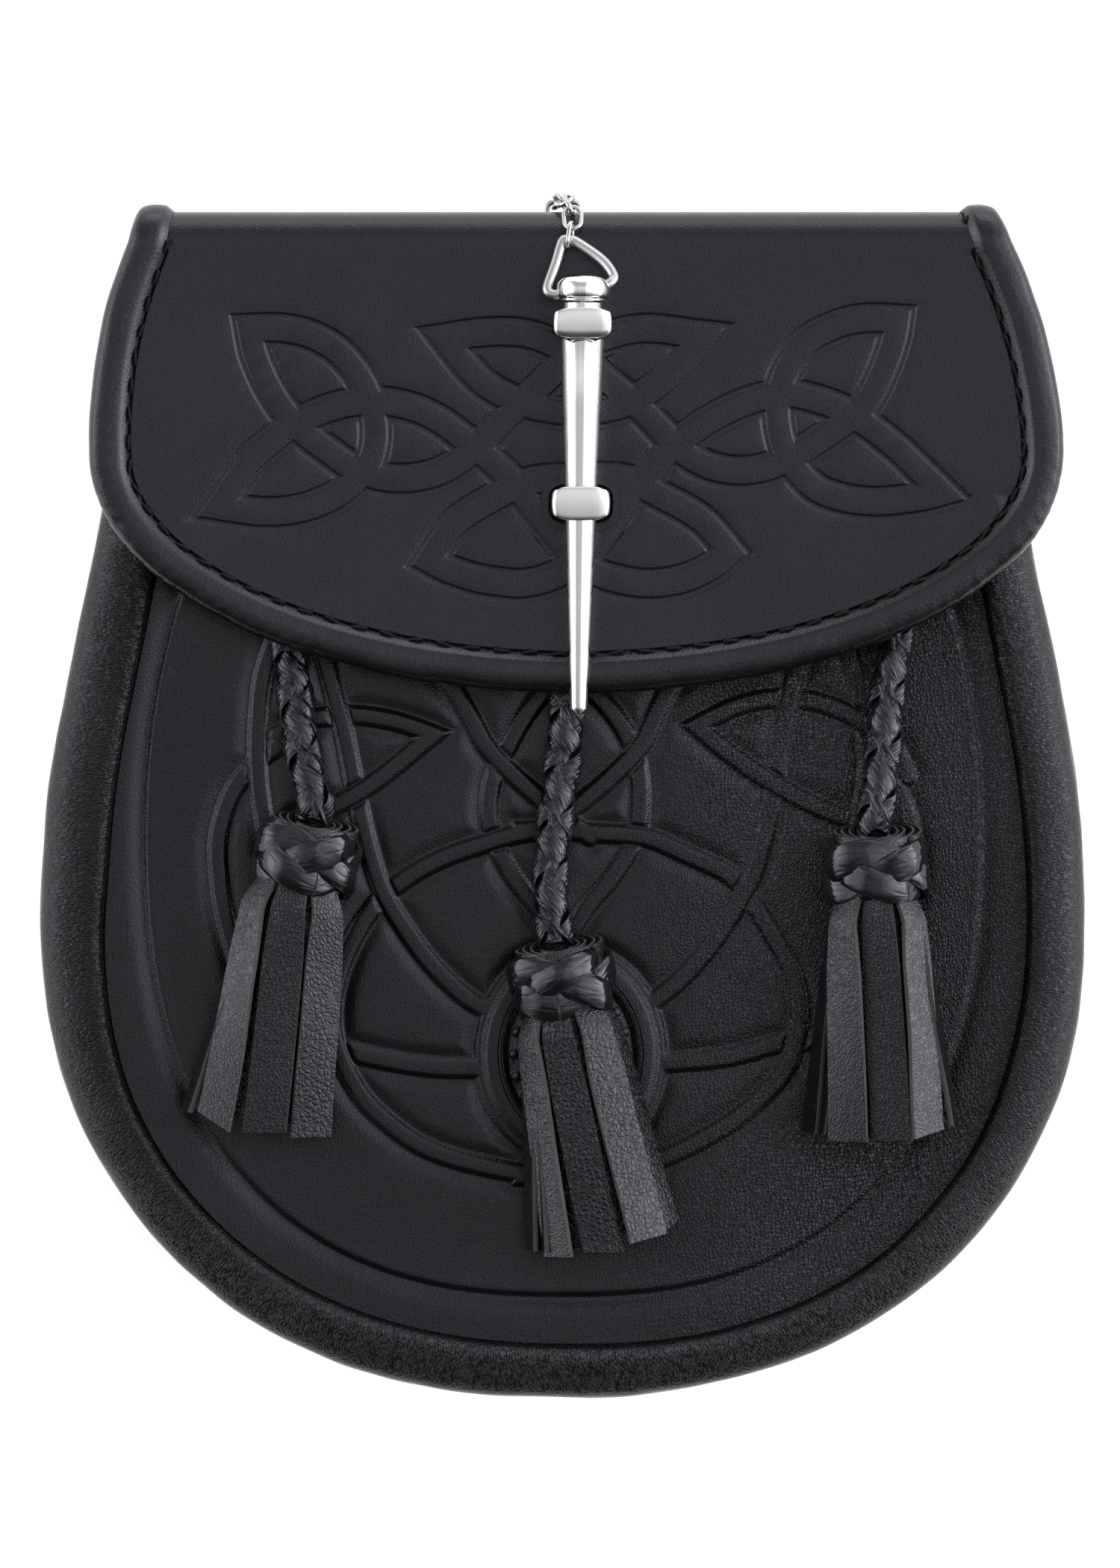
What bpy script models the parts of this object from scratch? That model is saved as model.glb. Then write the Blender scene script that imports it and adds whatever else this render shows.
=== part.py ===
"""A black leather day sporran, lying on its back with its flap closed.

+X is to the right and +Y to the top of the front, and +Z comes out of the front. The belt
loops on the back lie on z = 0. One sheet of leather is the back panel, the top and the flap.
A rolled gusset joins the back to the front panel, a rolled binding edges the flap, and a
tapered pin on a chain goes down through two staples. Three tassels hang on braided cords.
"""

import math

import bmesh
import bpy
from mathutils import Matrix, Vector

MM = 0.001
GAP = 0.3 * MM  # between two pieces that touch

# The pouch seen from the front: a superellipse below its widest level, an arc and a
# straight leaning side above it.
HALF_WIDTH = 95.0 * MM
WIDEST_Y = -22.0 * MM
BELOW_WIDEST = 87.4 * MM
POUCH_POWER = 2.2
SIDE_RADIUS = 194.0 * MM
SIDE_LEAN = math.radians(11.5)
MOUTH_Y = 86.0 * MM

# Levels above the floor that the sporran lies on.
LOOP_THICK = 2.0 * MM
LOOP_SPACE = 1.0 * MM
BACK_Z = LOOP_THICK + LOOP_SPACE  # outer face of the back panel
SHEET_THICK = 2.0 * MM
FRONT_Z = 30.4 * MM  # outer face of the front panel at its edge
FRONT_THICK = 2.0 * MM
FRONT_DOME = 1.2 * MM

# The sheet that is the back, the top and the flap, on its middle surface.
BACK_INSET = 0.8 * MM
SHEET_BACK_Z = BACK_Z + SHEET_THICK / 2
TOP_Y = 105.2 * MM
FOLD_RADIUS = 5.0 * MM
FLAP_Z = 35.95 * MM  # at the front fold
FLAP_RISE = math.radians(2.3)  # the flap lifts towards its tip, over the tassel cords

# The flap's leather seen from the front: an arc at each side, half an ellipse below.
FLAP_WIDEST_Y = 62.0 * MM
FLAP_HALF_WIDTH = 86.6 * MM
FLAP_BELOW = 41.4 * MM
FLAP_SIDE_RADIUS = 94.0 * MM
FLAP_SHIFT = 2.4 * MM  # the flap sits a little to the right of the pouch
TOP_SHIFT = 1.2 * MM

# The front panel's pressed border line, another superellipse.
BORDER_HALF_WIDTH = 76.1 * MM
BORDER_Y = -5.8 * MM
BORDER_BELOW = 84.8 * MM
BORDER_POWER = 2.45
BORDER_SIDE_RADIUS = 142.0 * MM
BORDER_GROOVE = 2.0 * MM
BORDER_DEPTH = 0.6 * MM

# The closure.
PIN_Z = 43.65 * MM
PIN_TOP = Vector((3.6 * MM, 94.7 * MM, PIN_Z))
PIN_LEAN = math.radians(-0.6)
PIN_SIDES = 16
STAPLE_WIDTH = 10.7 * MM
STAPLE_LEG = 1.5 * MM
STAPLE_BAR_TOP = 49.25 * MM
STAPLE_BAR_THICK = 1.8 * MM
UPPER_STAPLE = {"from_top": 8.9 * MM, "height": 5.6 * MM}
LOWER_STAPLE = {"from_top": 41.6 * MM, "height": 6.2 * MM}
STAPLE_HOLE_WIDTH = 13.2 * MM
STAPLE_HOLE_HEIGHT = 8.4 * MM
BAIL_WIRE = 1.5 * MM
BAIL_SOCKET_SPACE = 0.25 * MM
LINK_LENGTH = 5.8 * MM
LINK_WIDTH = 4.0 * MM
LINK_WIRE = 0.9 * MM
LINK_PITCH = 3.5 * MM

# The tassels.
STRIP_THICK = 1.2 * MM
STRIPS = 10
HEAD_ACROSS = 7.6 * MM
HEAD_DEEP = 6.2 * MM
KNOT_ACROSS = 10.1 * MM
KNOT_DEEP = 8.4 * MM
KNOT_LENGTH = 13.0 * MM
TIP_ACROSS = 14.0 * MM
TIP_DEEP = 6.4 * MM
STRIP_SPREAD_ACROSS = 11.5 * MM  # the strips are equally wide round an oval of this half width
STRIP_LENGTH = 41.5 * MM
CORD_THICK = 4.8 * MM

# One row for each tassel: the cord's points (x, y) from under the flap to the knot's top,
# the knot's centre, and the way that the tassel lies, in degrees from straight down.
TASSELS = {
    "left": {
        "cord": [(-52.6, 46), (-51.3, 36), (-49.8, 27), (-48.7, 18), (-47.6, 10), (-46.1, 3)],
        "knot": (-46.6, -10.9),
        "lean": -10.5,
    },
    "centre": {
        "cord": [(0.6, 32), (0.9, 23), (0.6, 14), (-0.3, 5), (-1.4, -4), (-2.3, -12), (-2.2, -18)],
        "knot": (-0.2, -33.4),
        "lean": 9.0,
    },
    "right": {
        "cord": [(59.2, 46), (60.6, 37), (60.1, 28), (58.9, 19), (58.2, 10), (57.4, 2)],
        "knot": (56.8, -12.9),
        "lean": 1.5,
    },
}

# The gusset's section: how far in from the pouch's outline, and the height.
GUSSET_OUTSIDE = (
    ("flange end", 7.0, 5.3),
    ("flange", 2.0, 5.3),
    ("back corner", 0.9, 6.8),
    ("low side", 0.5, 14.0),
    ("side", 0.0, 23.0),
    ("shoulder", 0.4, 28.4),
    ("roll", 2.2, 32.0),
    ("crown", 4.9, 33.2),
    ("roll in", 7.6, 32.3),
    ("crease", 9.0, 30.2),
    ("under edge", 9.2, 28.1),
    ("lip", 14.0, 28.1),
)
GUSSET_INSIDE = (
    ("lip", 14.0, 26.5),
    ("under edge", 7.6, 26.5),
    ("crease", 7.4, 29.3),
    ("roll in", 6.6, 30.8),
    ("crown", 4.9, 31.5),
    ("roll", 3.2, 30.7),
    ("shoulder", 2.0, 28.0),
    ("side", 1.7, 23.0),
    ("low side", 2.2, 14.0),
    ("back corner", 2.7, 7.6),
    ("flange end", 7.0, 7.0),
)

# The binding's section round the flap's cut edge: outwards, and up from the middle of the
# leather. The leather goes into the slot between the last two rows.
BINDING = (
    ("inner edge", -5.0, 1.25),
    ("inner top", -4.5, 2.05),
    ("top in", -3.0, 2.55),
    ("top", -1.0, 2.65),
    ("top out", 0.7, 2.25),
    ("side top", 1.65, 1.15),
    ("side", 1.9, 0.0),
    ("side low", 1.55, -1.1),
    ("low out", 0.6, -1.9),
    ("low", -1.2, -2.15),
    ("low in", -4.4, -2.0),
    ("inner low", -4.8, -1.25),
    ("slot low", 0.25, -1.25),
    ("slot top", 0.25, 1.25),
)
BINDING_END_Z = 9.0 * MM  # where the binding stops on the top, towards the back

# The chain, from the bail back over the fold and down the top: where each link's centre is
# across, how far it lies off the leather, and its roll in degrees.
CHAIN = (
    ("link 1", 1.2, 2.3, 80),
    ("link 2", 1.7, 2.2, -5),
    ("link 3", 1.0, 2.2, 65),
    ("link 4", 0.3, 2.1, -30),
    ("link 5", -0.4, 2.0, 50),
    ("link 6", -0.7, 1.95, -45),
    ("link 7", -0.6, 1.95, 45),
    ("link 8", -0.3, 2.0, -42),
    ("link 9", 0.0, 2.1, 52),
)

# The pin's profile: how far below the top of its knob, and its radius.
PIN_PROFILE = (
    ("crown", 0.0, 0.9),
    ("crown edge", 0.25, 2.6),
    ("dome", 0.9, 3.9),
    ("knob top", 1.8, 4.7),
    ("knob", 2.6, 4.9),
    ("knob low", 3.6, 4.6),
    ("knob foot", 4.3, 3.9),
    ("neck", 4.7, 3.55),
    ("neck foot", 6.0, 3.55),
    ("shoulder", 12.0, 3.5),
    ("middle", 42.0, 2.65),
    ("point", 79.3, 1.5),
    ("point edge", 79.7, 1.2),
)


def clear_scene():
    for obj in list(bpy.data.objects):
        bpy.data.objects.remove(obj)


def make_material(name, colour, roughness, metallic=0.0):
    material = bpy.data.materials.new(name)
    material.use_nodes = True
    shader = material.node_tree.nodes["Principled BSDF"]
    shader.inputs["Base Color"].default_value = (*colour, 1.0)
    shader.inputs["Roughness"].default_value = roughness
    shader.inputs["Metallic"].default_value = metallic
    return material


def add_object(name, mesh, material, smooth_under=math.radians(40)):
    mesh.shade_smooth()
    mesh.set_sharp_from_angle(angle=smooth_under)
    obj = bpy.data.objects.new(name, mesh)
    obj.data.materials.append(material)
    bpy.context.scene.collection.objects.link(obj)
    return obj


def as_helper(obj):
    """A cutter: it shapes other objects and isn't a piece."""
    obj.hide_render = True
    obj.display_type = "WIRE"
    return obj


def cut(obj, cutter):
    modifier = obj.modifiers.new(cutter.name, "BOOLEAN")
    modifier.operation = "DIFFERENCE"
    modifier.object = cutter


def loft(name, rings, closed_path=False):
    """A solid through rings of equal counts, capped at both ends unless the path closes."""
    bm = bmesh.new()
    rows = [[bm.verts.new(point) for point in ring] for ring in rings]
    following = rows[1:] + rows[:1] if closed_path else rows[1:]
    for row, other in zip(rows, following):
        for i in range(len(row)):
            j = (i + 1) % len(row)
            bm.faces.new((row[i], row[j], other[j], other[i]))
    if not closed_path:
        bm.faces.new(rows[0])
        bm.faces.new(rows[-1])
    bmesh.ops.recalc_face_normals(bm, faces=bm.faces)
    mesh = bpy.data.meshes.new(name)
    bm.to_mesh(mesh)
    bm.free()
    return mesh


def evenly(points, count):
    """The same line as count points an equal way apart."""
    reach = [0.0]
    for a, b in zip(points, points[1:]):
        reach.append(reach[-1] + (b - a).length)
    spaced = []
    k = 0
    for i in range(count):
        want = reach[-1] * i / (count - 1)
        while k < len(points) - 2 and reach[k + 1] < want:
            k += 1
        share = (want - reach[k]) / (reach[k + 1] - reach[k])
        spaced.append(points[k].lerp(points[k + 1], share))
    return spaced


def smooth_line(points, count):
    """A Catmull-Rom curve through points, as count points an equal way apart."""
    ends = [points[0] * 2 - points[1], *points, points[-1] * 2 - points[-2]]
    dense = []
    steps = 12
    for a, b, c, d in zip(ends, ends[1:], ends[2:], ends[3:]):
        for i in range(steps):
            t = i / steps
            dense.append(
                (
                    b * 2
                    + (c - a) * t
                    + (a * 2 - b * 5 + c * 4 - d) * t**2
                    + (b * 3 - a - c * 3 + d) * t**3
                )
                / 2
            )
    dense.append(points[-1])
    return evenly(dense, count)


def superellipse(half_width, below, power, centre_y, steps=40):
    """The right half of the lower outline, from its widest level to its lowest point."""
    points = []
    for i in range(steps + 1):
        turn = math.pi / 2 * i / steps
        across = half_width * max(0.0, math.cos(turn)) ** (2 / power)
        down = below * math.sin(turn) ** (2 / power)
        points.append(Vector((across, centre_y - down, 0)))
    return points


def side_above(half_width, radius, lean, centre_y, top_y, steps=24):
    """The right side above the widest level: an arc, then a line at its lean, going up."""
    arc_end = radius * math.sin(lean)
    points = []
    for i in range(1, steps + 1):
        up = (top_y - centre_y) * i / steps
        on_arc = min(up, arc_end)
        inwards = radius - math.sqrt(radius**2 - on_arc**2)
        inwards += (up - on_arc) * math.tan(lean)
        points.append(Vector((half_width - inwards, centre_y + up, 0)))
    return points


def pouch_half(top_y):
    """The pouch's right side, from top_y down to the bottom centre."""
    above = side_above(HALF_WIDTH, SIDE_RADIUS, SIDE_LEAN, WIDEST_Y, top_y)
    return above[::-1] + superellipse(HALF_WIDTH, BELOW_WIDEST, POUCH_POWER, WIDEST_Y)


def border_half():
    """The front panel's pressed border line, from the mouth down to its lowest point."""
    always = math.pi / 2
    above = side_above(BORDER_HALF_WIDTH, BORDER_SIDE_RADIUS, always, BORDER_Y, MOUTH_Y - 8 * MM)
    return above[::-1] + superellipse(BORDER_HALF_WIDTH, BORDER_BELOW, BORDER_POWER, BORDER_Y)


def flap_half():
    """The right edge of the flap's leather, from the fold down to its tip."""
    always = math.pi / 2
    fold_y = TOP_Y - FOLD_RADIUS
    above = side_above(FLAP_HALF_WIDTH, FLAP_SIDE_RADIUS, always, FLAP_WIDEST_Y, fold_y)
    return above[::-1] + superellipse(FLAP_HALF_WIDTH, FLAP_BELOW, 2.0, FLAP_WIDEST_Y)


def both_sides(right):
    """A whole outline, from the right top round the bottom to the left top."""
    left = [Vector((-p.x, p.y, p.z)) for p in reversed(right[:-1])]
    return right + left


def directions(points, closed=False):
    """The unit direction of a line at each of its points."""
    last = len(points) - 1
    found = []
    for i in range(last + 1):
        before = points[(i - 1) % (last + 1)] if closed else points[max(i - 1, 0)]
        after = points[(i + 1) % (last + 1)] if closed else points[min(i + 1, last)]
        found.append((after - before).normalized())
    return found


def inset(points, distance):
    """An outline drawn this far inside another that goes clockwise seen from the front."""
    moved = []
    for point, way in zip(points, directions(points)):
        moved.append(point + Vector((way.y, -way.x, 0)) * distance)
    return moved


def radius_along(centre, angle, outline):
    """How far from the centre a ray meets a closed outline round it."""
    ray = Vector((math.cos(angle), math.sin(angle)))
    best = 0.0
    for a, b in zip(outline, outline[1:] + outline[:1]):
        start = (a - centre).xy
        edge = (b - a).xy
        spread = ray.x * -edge.y + ray.y * edge.x
        if abs(spread) < 1e-12:
            continue
        distance = (start.x * -edge.y + start.y * edge.x) / spread
        share = (ray.x * start.y - ray.y * start.x) / spread
        if distance > 0 and -1e-6 <= share <= 1 + 1e-6:
            best = max(best, distance)
    return best


def front_height(x, y):
    """The outer face of the front panel: a low dome over a flat edge."""
    from_middle = math.hypot(x / 75.0, (y + 12 * MM) / 92.0) / MM
    return FRONT_Z + FRONT_DOME * max(0.0, 1 - from_middle**2)


def flap_top(y):
    """The outer face of the flap."""
    down = TOP_Y - FOLD_RADIUS - y
    return FLAP_Z + SHEET_THICK / 2 + down * math.tan(FLAP_RISE)


def make_gusset(leather):
    """The side wall, rolled over at the front, from one top corner round to the other."""
    path = both_sides(evenly(pouch_half(MOUTH_Y + 4 * MM), 21))
    rings = []
    for point, way in zip(path, directions(path)):
        inwards = Vector((way.y, -way.x, 0))
        ring = []
        for _, across, height in GUSSET_OUTSIDE + GUSSET_INSIDE:
            ring.append(point + inwards * across * MM + Vector((0, 0, height * MM)))
        rings.append(ring)
    add_object("gusset", loft("gusset", rings), leather)


def make_front_panel(leather):
    """The front, with its pressed border line, on the gusset's lip and under its roll."""
    centre = Vector((0, -14 * MM, 0))
    lip = GUSSET_OUTSIDE[-2][1] * MM + GAP
    edge = inset(both_sides(evenly(pouch_half(MOUTH_Y), 60)), lip)
    border = both_sides(border_half())
    groove = inset(border, -BORDER_GROOVE)
    rays = 56
    rows = []
    for i in range(rays):
        angle = 2 * math.pi * i / rays
        out = radius_along(centre, angle, edge)
        line = min(radius_along(centre, angle, groove), out - 2.5 * MM)
        inner = min(radius_along(centre, angle, border), line - BORDER_GROOVE)
        mid = (line + inner) / 2
        rows.append(
            (
                (out, -FRONT_THICK),
                (out, -0.5 * MM),
                (out - 0.6 * MM, 0.0),
                (line, 0.0),
                (mid + 0.4 * MM, -BORDER_DEPTH),
                (mid - 0.4 * MM, -BORDER_DEPTH),
                (inner, 0.0),
                (inner * 0.62, 0.0),
                (inner * 0.28, 0.0),
                (inner * 0.28, -FRONT_THICK),
                (inner * 0.75, -FRONT_THICK),
            )
        )
    bm = bmesh.new()
    grid = []
    for i, row in enumerate(rows):
        ray = Vector((math.cos(2 * math.pi * i / rays), math.sin(2 * math.pi * i / rays), 0))
        line = []
        for distance, height in row:
            point = centre + ray * distance
            point.z = front_height(point.x, point.y) + height
            line.append(bm.verts.new(point))
        grid.append(line)
    last_top = 8
    for line, other in zip(grid, grid[1:] + grid[:1]):
        for a in range(last_top):
            bm.faces.new((line[a], line[a + 1], other[a + 1], other[a]))
        bm.faces.new((line[9], line[10], other[10], other[9]))
        bm.faces.new((line[10], line[0], other[0], other[10]))
    bm.faces.new([line[last_top] for line in grid])
    bm.faces.new([line[9] for line in grid])
    bmesh.ops.recalc_face_normals(bm, faces=bm.faces)
    mesh = bpy.data.meshes.new("front_panel")
    bm.to_mesh(mesh)
    bm.free()
    add_object("front_panel", mesh, leather)


def sheet_rows():
    """The sheet's rows on its middle surface, each (centre, half width, outward normal).

    They go from the bottom of the back up, over the top, and down to the flap's tip.
    """
    rows = []
    back_top = TOP_Y - FOLD_RADIUS
    outline = inset(evenly(pouch_half(back_top), 22), BACK_INSET)
    for point in reversed(outline):
        half = max(point.x, 7 * MM)
        rows.append((Vector((0, point.y, SHEET_BACK_Z)), half, Vector((0, 0, -1))))
    bends = 4
    back_half = outline[0].x
    fold_half = flap_half()[0].x
    turns = [(SHEET_BACK_Z + FOLD_RADIUS, -90 + 90 * i / bends) for i in range(1, bends + 1)]
    turns += [(FLAP_Z - FOLD_RADIUS, 90 * i / bends) for i in range(bends)]
    for i, (centre_z, degrees) in enumerate(turns, 1):
        turn = math.radians(degrees)
        out = Vector((0, math.cos(turn), math.sin(turn)))
        share = i / (len(turns) + 1)
        centre = Vector((TOP_SHIFT * share, back_top, centre_z)) + out * FOLD_RADIUS
        rows.append((centre, back_half + (fold_half - back_half) * share, out))
    normal = Vector((0, math.sin(FLAP_RISE), math.cos(FLAP_RISE)))
    for point in evenly(flap_half(), 24):
        lower = min(1.0, (back_top - point.y) / (back_top - FLAP_WIDEST_Y))
        shift = TOP_SHIFT + (FLAP_SHIFT - TOP_SHIFT) * lower
        height = FLAP_Z + (back_top - point.y) * math.tan(FLAP_RISE)
        rows.append((Vector((shift, point.y, height)), max(point.x, 5 * MM), normal))
    return rows


def make_back_and_flap(leather):
    """The sheet, with the hole that the lower staple comes through."""
    columns = 6
    rings = []
    for centre, half, normal in sheet_rows():
        across = [centre + Vector((half * (2 * i / columns - 1), 0, 0)) for i in range(columns + 1)]
        outer = [point + normal * SHEET_THICK / 2 for point in across]
        inner = [point - normal * SHEET_THICK / 2 for point in reversed(across)]
        rings.append(outer + inner)
    sheet = add_object("back_and_flap", loft("back_and_flap", rings), leather)
    centre = staple_centre(LOWER_STAPLE)
    outline = []
    for i in range(16):
        turn = 2 * math.pi * (i + 0.5) / 16
        x = STAPLE_HOLE_WIDTH / 2 * math.copysign(abs(math.cos(turn)) ** 0.5, math.cos(turn))
        y = STAPLE_HOLE_HEIGHT / 2 * math.copysign(abs(math.sin(turn)) ** 0.5, math.sin(turn))
        outline.append(Vector((centre.x + x, centre.y + y, 0)))
    low, high = FLAP_Z - 3 * MM, FLAP_Z + 6 * MM
    rings = [[Vector((p.x, p.y, z)) for p in outline] for z in (low, high)]
    hole = as_helper(add_object("staple_hole", loft("staple_hole", rings), leather))
    cut(sheet, hole)


def make_binding(leather):
    """The rolled strip round the flap's edge, over the fold and on to the top."""
    rows = [r for r in sheet_rows() if r[0].z > BINDING_END_Z]
    side = [(c + Vector((half, 0, 0)), n) for c, half, n in rows[:-1]]
    tip = [(rows[-1][0] - Vector((0, 0.1 * MM, 0)), rows[-1][2])]
    other = [(c - Vector((half, 0, 0)), n) for c, half, n in reversed(rows[:-1])]
    path = side + tip + other
    rings = []
    ways = directions([point for point, _ in path])
    for (point, normal), way in zip(path, ways):
        out = normal.cross(way).normalized()
        if point.z < FLAP_Z - 0.1 * MM:  # on the fold, straight out to the side
            out = Vector((math.copysign(1, out.x), 0, 0))
        ring = [point + out * a * MM + normal * b * MM for _, a, b in BINDING]
        rings.append(ring)
    add_object("flap_binding", loft("flap_binding", rings), leather)


def pin_place(from_top):
    """A point on the pin's axis."""
    way = Vector((math.sin(PIN_LEAN), -math.cos(PIN_LEAN), 0))
    return PIN_TOP + way * from_top


def staple_centre(staple):
    return pin_place(staple["from_top"])


def make_pin(metal):
    """The tapered pin with its neck and knob, along its own +Z and then laid down."""
    rings = []
    for _, along, radius in PIN_PROFILE:
        ring = []
        for i in range(PIN_SIDES):
            turn = 2 * math.pi * i / PIN_SIDES
            ring.append(Vector((math.cos(turn), math.sin(turn), 0)) * radius * MM)
        rings.append([p - Vector((0, 0, along * MM)) for p in ring])
    pin = add_object("pin", loft("pin", rings), metal)
    pin.matrix_world = Matrix.Translation(PIN_TOP) @ Matrix.Rotation(PIN_LEAN, 4, "Z") @ (
        Matrix.Rotation(-math.pi / 2, 4, "X")
    )
    return pin


def make_staple(name, staple, foot_z, metal):
    """A strap bent over the pin, with a leg down each side."""
    half = STAPLE_WIDTH / 2
    inside = half - STAPLE_LEG
    under = STAPLE_BAR_TOP - STAPLE_BAR_THICK
    round_off = 0.9 * MM
    outline = [
        (-half, foot_z),
        (-half, STAPLE_BAR_TOP - round_off),
        (-half + round_off, STAPLE_BAR_TOP),
        (half - round_off, STAPLE_BAR_TOP),
        (half, STAPLE_BAR_TOP - round_off),
        (half, foot_z),
        (inside, foot_z),
        (inside, under),
        (-inside, under),
        (-inside, foot_z),
    ]
    centre = staple_centre(staple)
    reach = staple["height"] / 2
    rings = []
    for y, shrink in ((-reach, 0.35), (-reach + 0.5 * MM, 0), (reach - 0.5 * MM, 0), (reach, 0.35)):
        ring = []
        for x, z in outline:
            edge = math.copysign(shrink * MM, x) if abs(x) > inside + 0.1 * MM else 0
            top = shrink * MM if z > under + 0.1 * MM else 0
            ring.append(Vector((centre.x + x - edge, centre.y + y, z - top)))
        rings.append(ring)
    add_object(name, loft(name, rings), metal, smooth_under=math.radians(20))


def wire(name, points, thickness, sides, closed, metal):
    """A bent wire along points, with its rings turned as little as they can be."""
    ways = directions(points, closed)
    side = ways[0].orthogonal().normalized()
    rings = []
    for point, way in zip(points, ways):
        side = (side - way * side.dot(way)).normalized()
        up = way.cross(side)
        ring = []
        for i in range(sides):
            turn = 2 * math.pi * (i + 0.5) / sides
            ring.append(point + (side * math.cos(turn) + up * math.sin(turn)) * thickness / 2)
        rings.append(ring)
    return add_object(name, loft(name, rings, closed_path=closed), metal)


def make_bail(pin, metal):
    """The triangular wire that joins the pin's knob to the chain, its ends in two sockets."""
    corners = [
        ("left end", 1.2, 91.3, 43.65),
        ("left entry", -1.7, 90.9, 43.65),
        ("left corner", -3.2, 92.2, 43.2),
        ("left side", -1.4, 97.6, 41.0),
        ("right side", 7.2, 97.3, 41.2),
        ("right corner", 9.7, 94.2, 42.6),
        ("right entry", 8.9, 92.8, 43.6),
        ("right end", 6.0, 92.0, 43.65),
    ]
    points = [Vector((x, y, z)) * MM for _, x, y, z in corners]
    places = chain_places()
    hold = LINK_LENGTH / 2 - LINK_WIRE - BAIL_WIRE / 2 - GAP
    apex = places[0] - directions(places)[0] * hold
    for k, (across, down) in enumerate(((-1.2, 0.35), (0.0, 0.0), (1.2, 0.35))):
        points.insert(4 + k, apex + Vector((across * MM, -down * MM, 0)))
    line = [points[0], *smooth_line(points[1:-1], 30), points[-1]]
    wire("bail", line, BAIL_WIRE, 6, False, metal)
    for side, end, entry in (("left", points[0], points[1]), ("right", points[-1], points[-2])):
        way = (end - entry).normalized()
        deep = [entry - way * 2 * MM, end + way * BAIL_SOCKET_SPACE]
        bore = BAIL_WIRE + 2 * BAIL_SOCKET_SPACE
        socket = wire(f"bail_socket_{side}", deep, bore, 8, False, metal)
        cut(pin, as_helper(socket))


def link_loop():
    """One link's centre line, long along +X and flat in the XY plane."""
    radius = (LINK_WIDTH - LINK_WIRE) / 2
    straight = (LINK_LENGTH - LINK_WIDTH) / 2
    points = []
    bends = 4
    for side in (1, -1):
        for i in range(bends + 1):
            turn = math.pi * (i / bends - 0.5)
            x = side * (straight + radius * math.cos(turn))
            points.append(Vector((x, side * radius * math.sin(turn), 0)))
    return points


def chain_places():
    """Each link's centre: from the bail over the flap's fold, and down the top."""
    fold = Vector((0, TOP_Y - FOLD_RADIUS, FLAP_Z - FOLD_RADIUS))
    leather = FOLD_RADIUS + SHEET_THICK / 2
    places = []
    for i, (_, across, off, _) in enumerate(CHAIN):
        reach = leather + off * MM
        turn = math.radians(79) - LINK_PITCH * i / (leather + 2.1 * MM)
        if turn > 0:
            place = fold + Vector((0, math.cos(turn), math.sin(turn))) * reach
        else:
            place = fold + Vector((0, reach, turn * (leather + 2.1 * MM)))
        place.x = across * MM
        places.append(place)
    return places


def make_chain(metal):
    """Links that go through one another, each turned about a quarter from the last."""
    places = chain_places()
    loop = link_loop()
    for i, (place, way) in enumerate(zip(places, directions(places))):
        out = Vector((1, 0, 0)).cross(way).normalized()
        side = way.cross(out)
        roll = math.radians(CHAIN[i][3])
        flat = side * math.cos(roll) + out * math.sin(roll)
        points = [place + way * p.x + flat * p.y for p in loop]
        wire(f"chain_link_{i + 1:02d}", points, LINK_WIRE, 6, True, metal)


def make_chain_staple(metal):
    """The wire staple on the top that holds the chain's last link."""
    last = chain_places()[-1]
    inside = (LINK_LENGTH - 2 * LINK_WIRE) / 2
    thickness = 1.1 * MM
    z = last.z - inside + thickness / 2 + 0.2 * MM
    foot = TOP_Y + SHEET_THICK / 2 + GAP
    height = last.y
    reach = 3.0 * MM
    corners = [
        Vector((-reach, foot, z)),
        Vector((-reach, height - 1.2 * MM, z)),
        Vector((-reach + 0.4 * MM, height - 0.35 * MM, z)),
        Vector((-reach + 1.2 * MM, height, z)),
        Vector((reach - 1.2 * MM, height, z)),
        Vector((reach - 0.4 * MM, height - 0.35 * MM, z)),
        Vector((reach, height - 1.2 * MM, z)),
        Vector((reach, foot, z)),
    ]
    wire("chain_staple", corners, thickness, 6, False, metal)


def tassel_frame(tassel):
    """The knot's centre, and the directions down, across and up from the tassel."""
    x, y = (value * MM for value in tassel["knot"])
    lean = math.radians(tassel["lean"])
    centre = Vector((x, y, front_height(x, y) + KNOT_DEEP + GAP))
    tip_x = x + math.sin(lean) * 45 * MM
    tip_y = y - math.cos(lean) * 45 * MM
    tip = Vector((tip_x, tip_y, front_height(tip_x, tip_y) + TIP_DEEP + GAP))
    down = (tip - centre).normalized()
    across = Vector((0, 0, 1)).cross(down).normalized()
    up = down.cross(across)
    return centre, down, across, up


def oval(centre, across, up, half_across, half_up, count, offset=0.0):
    ring = []
    for i in range(count):
        turn = 2 * math.pi * (i + offset) / count
        ring.append(centre + across * half_across * math.cos(turn) + up * half_up * math.sin(turn))
    return ring


def make_knot(name, tassel, leather):
    """The woven ring round the tassel's head."""
    centre, down, across, up = tassel_frame(tassel)
    inner_across = HEAD_ACROSS + 0.4 * MM + GAP
    inner_deep = HEAD_DEEP + 0.4 * MM + GAP
    section = (
        ("top inside", -0.5, 0.0),
        ("top", -0.46, 0.62),
        ("shoulder", -0.3, 0.95),
        ("belly", 0.0, 1.0),
        ("low shoulder", 0.34, 0.85),
        ("bottom", 0.5, 0.35),
        ("bottom inside", 0.5, 0.0),
    )
    rings = []
    for _, along, out in section:
        place = centre + down * along * KNOT_LENGTH
        half_across = inner_across + (KNOT_ACROSS - inner_across) * out
        half_deep = inner_deep + (KNOT_DEEP - inner_deep) * out
        rings.append(oval(place, across, up, half_across, half_deep, 20))
    add_object(name, loft(name, rings, closed_path=True), leather)


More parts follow.
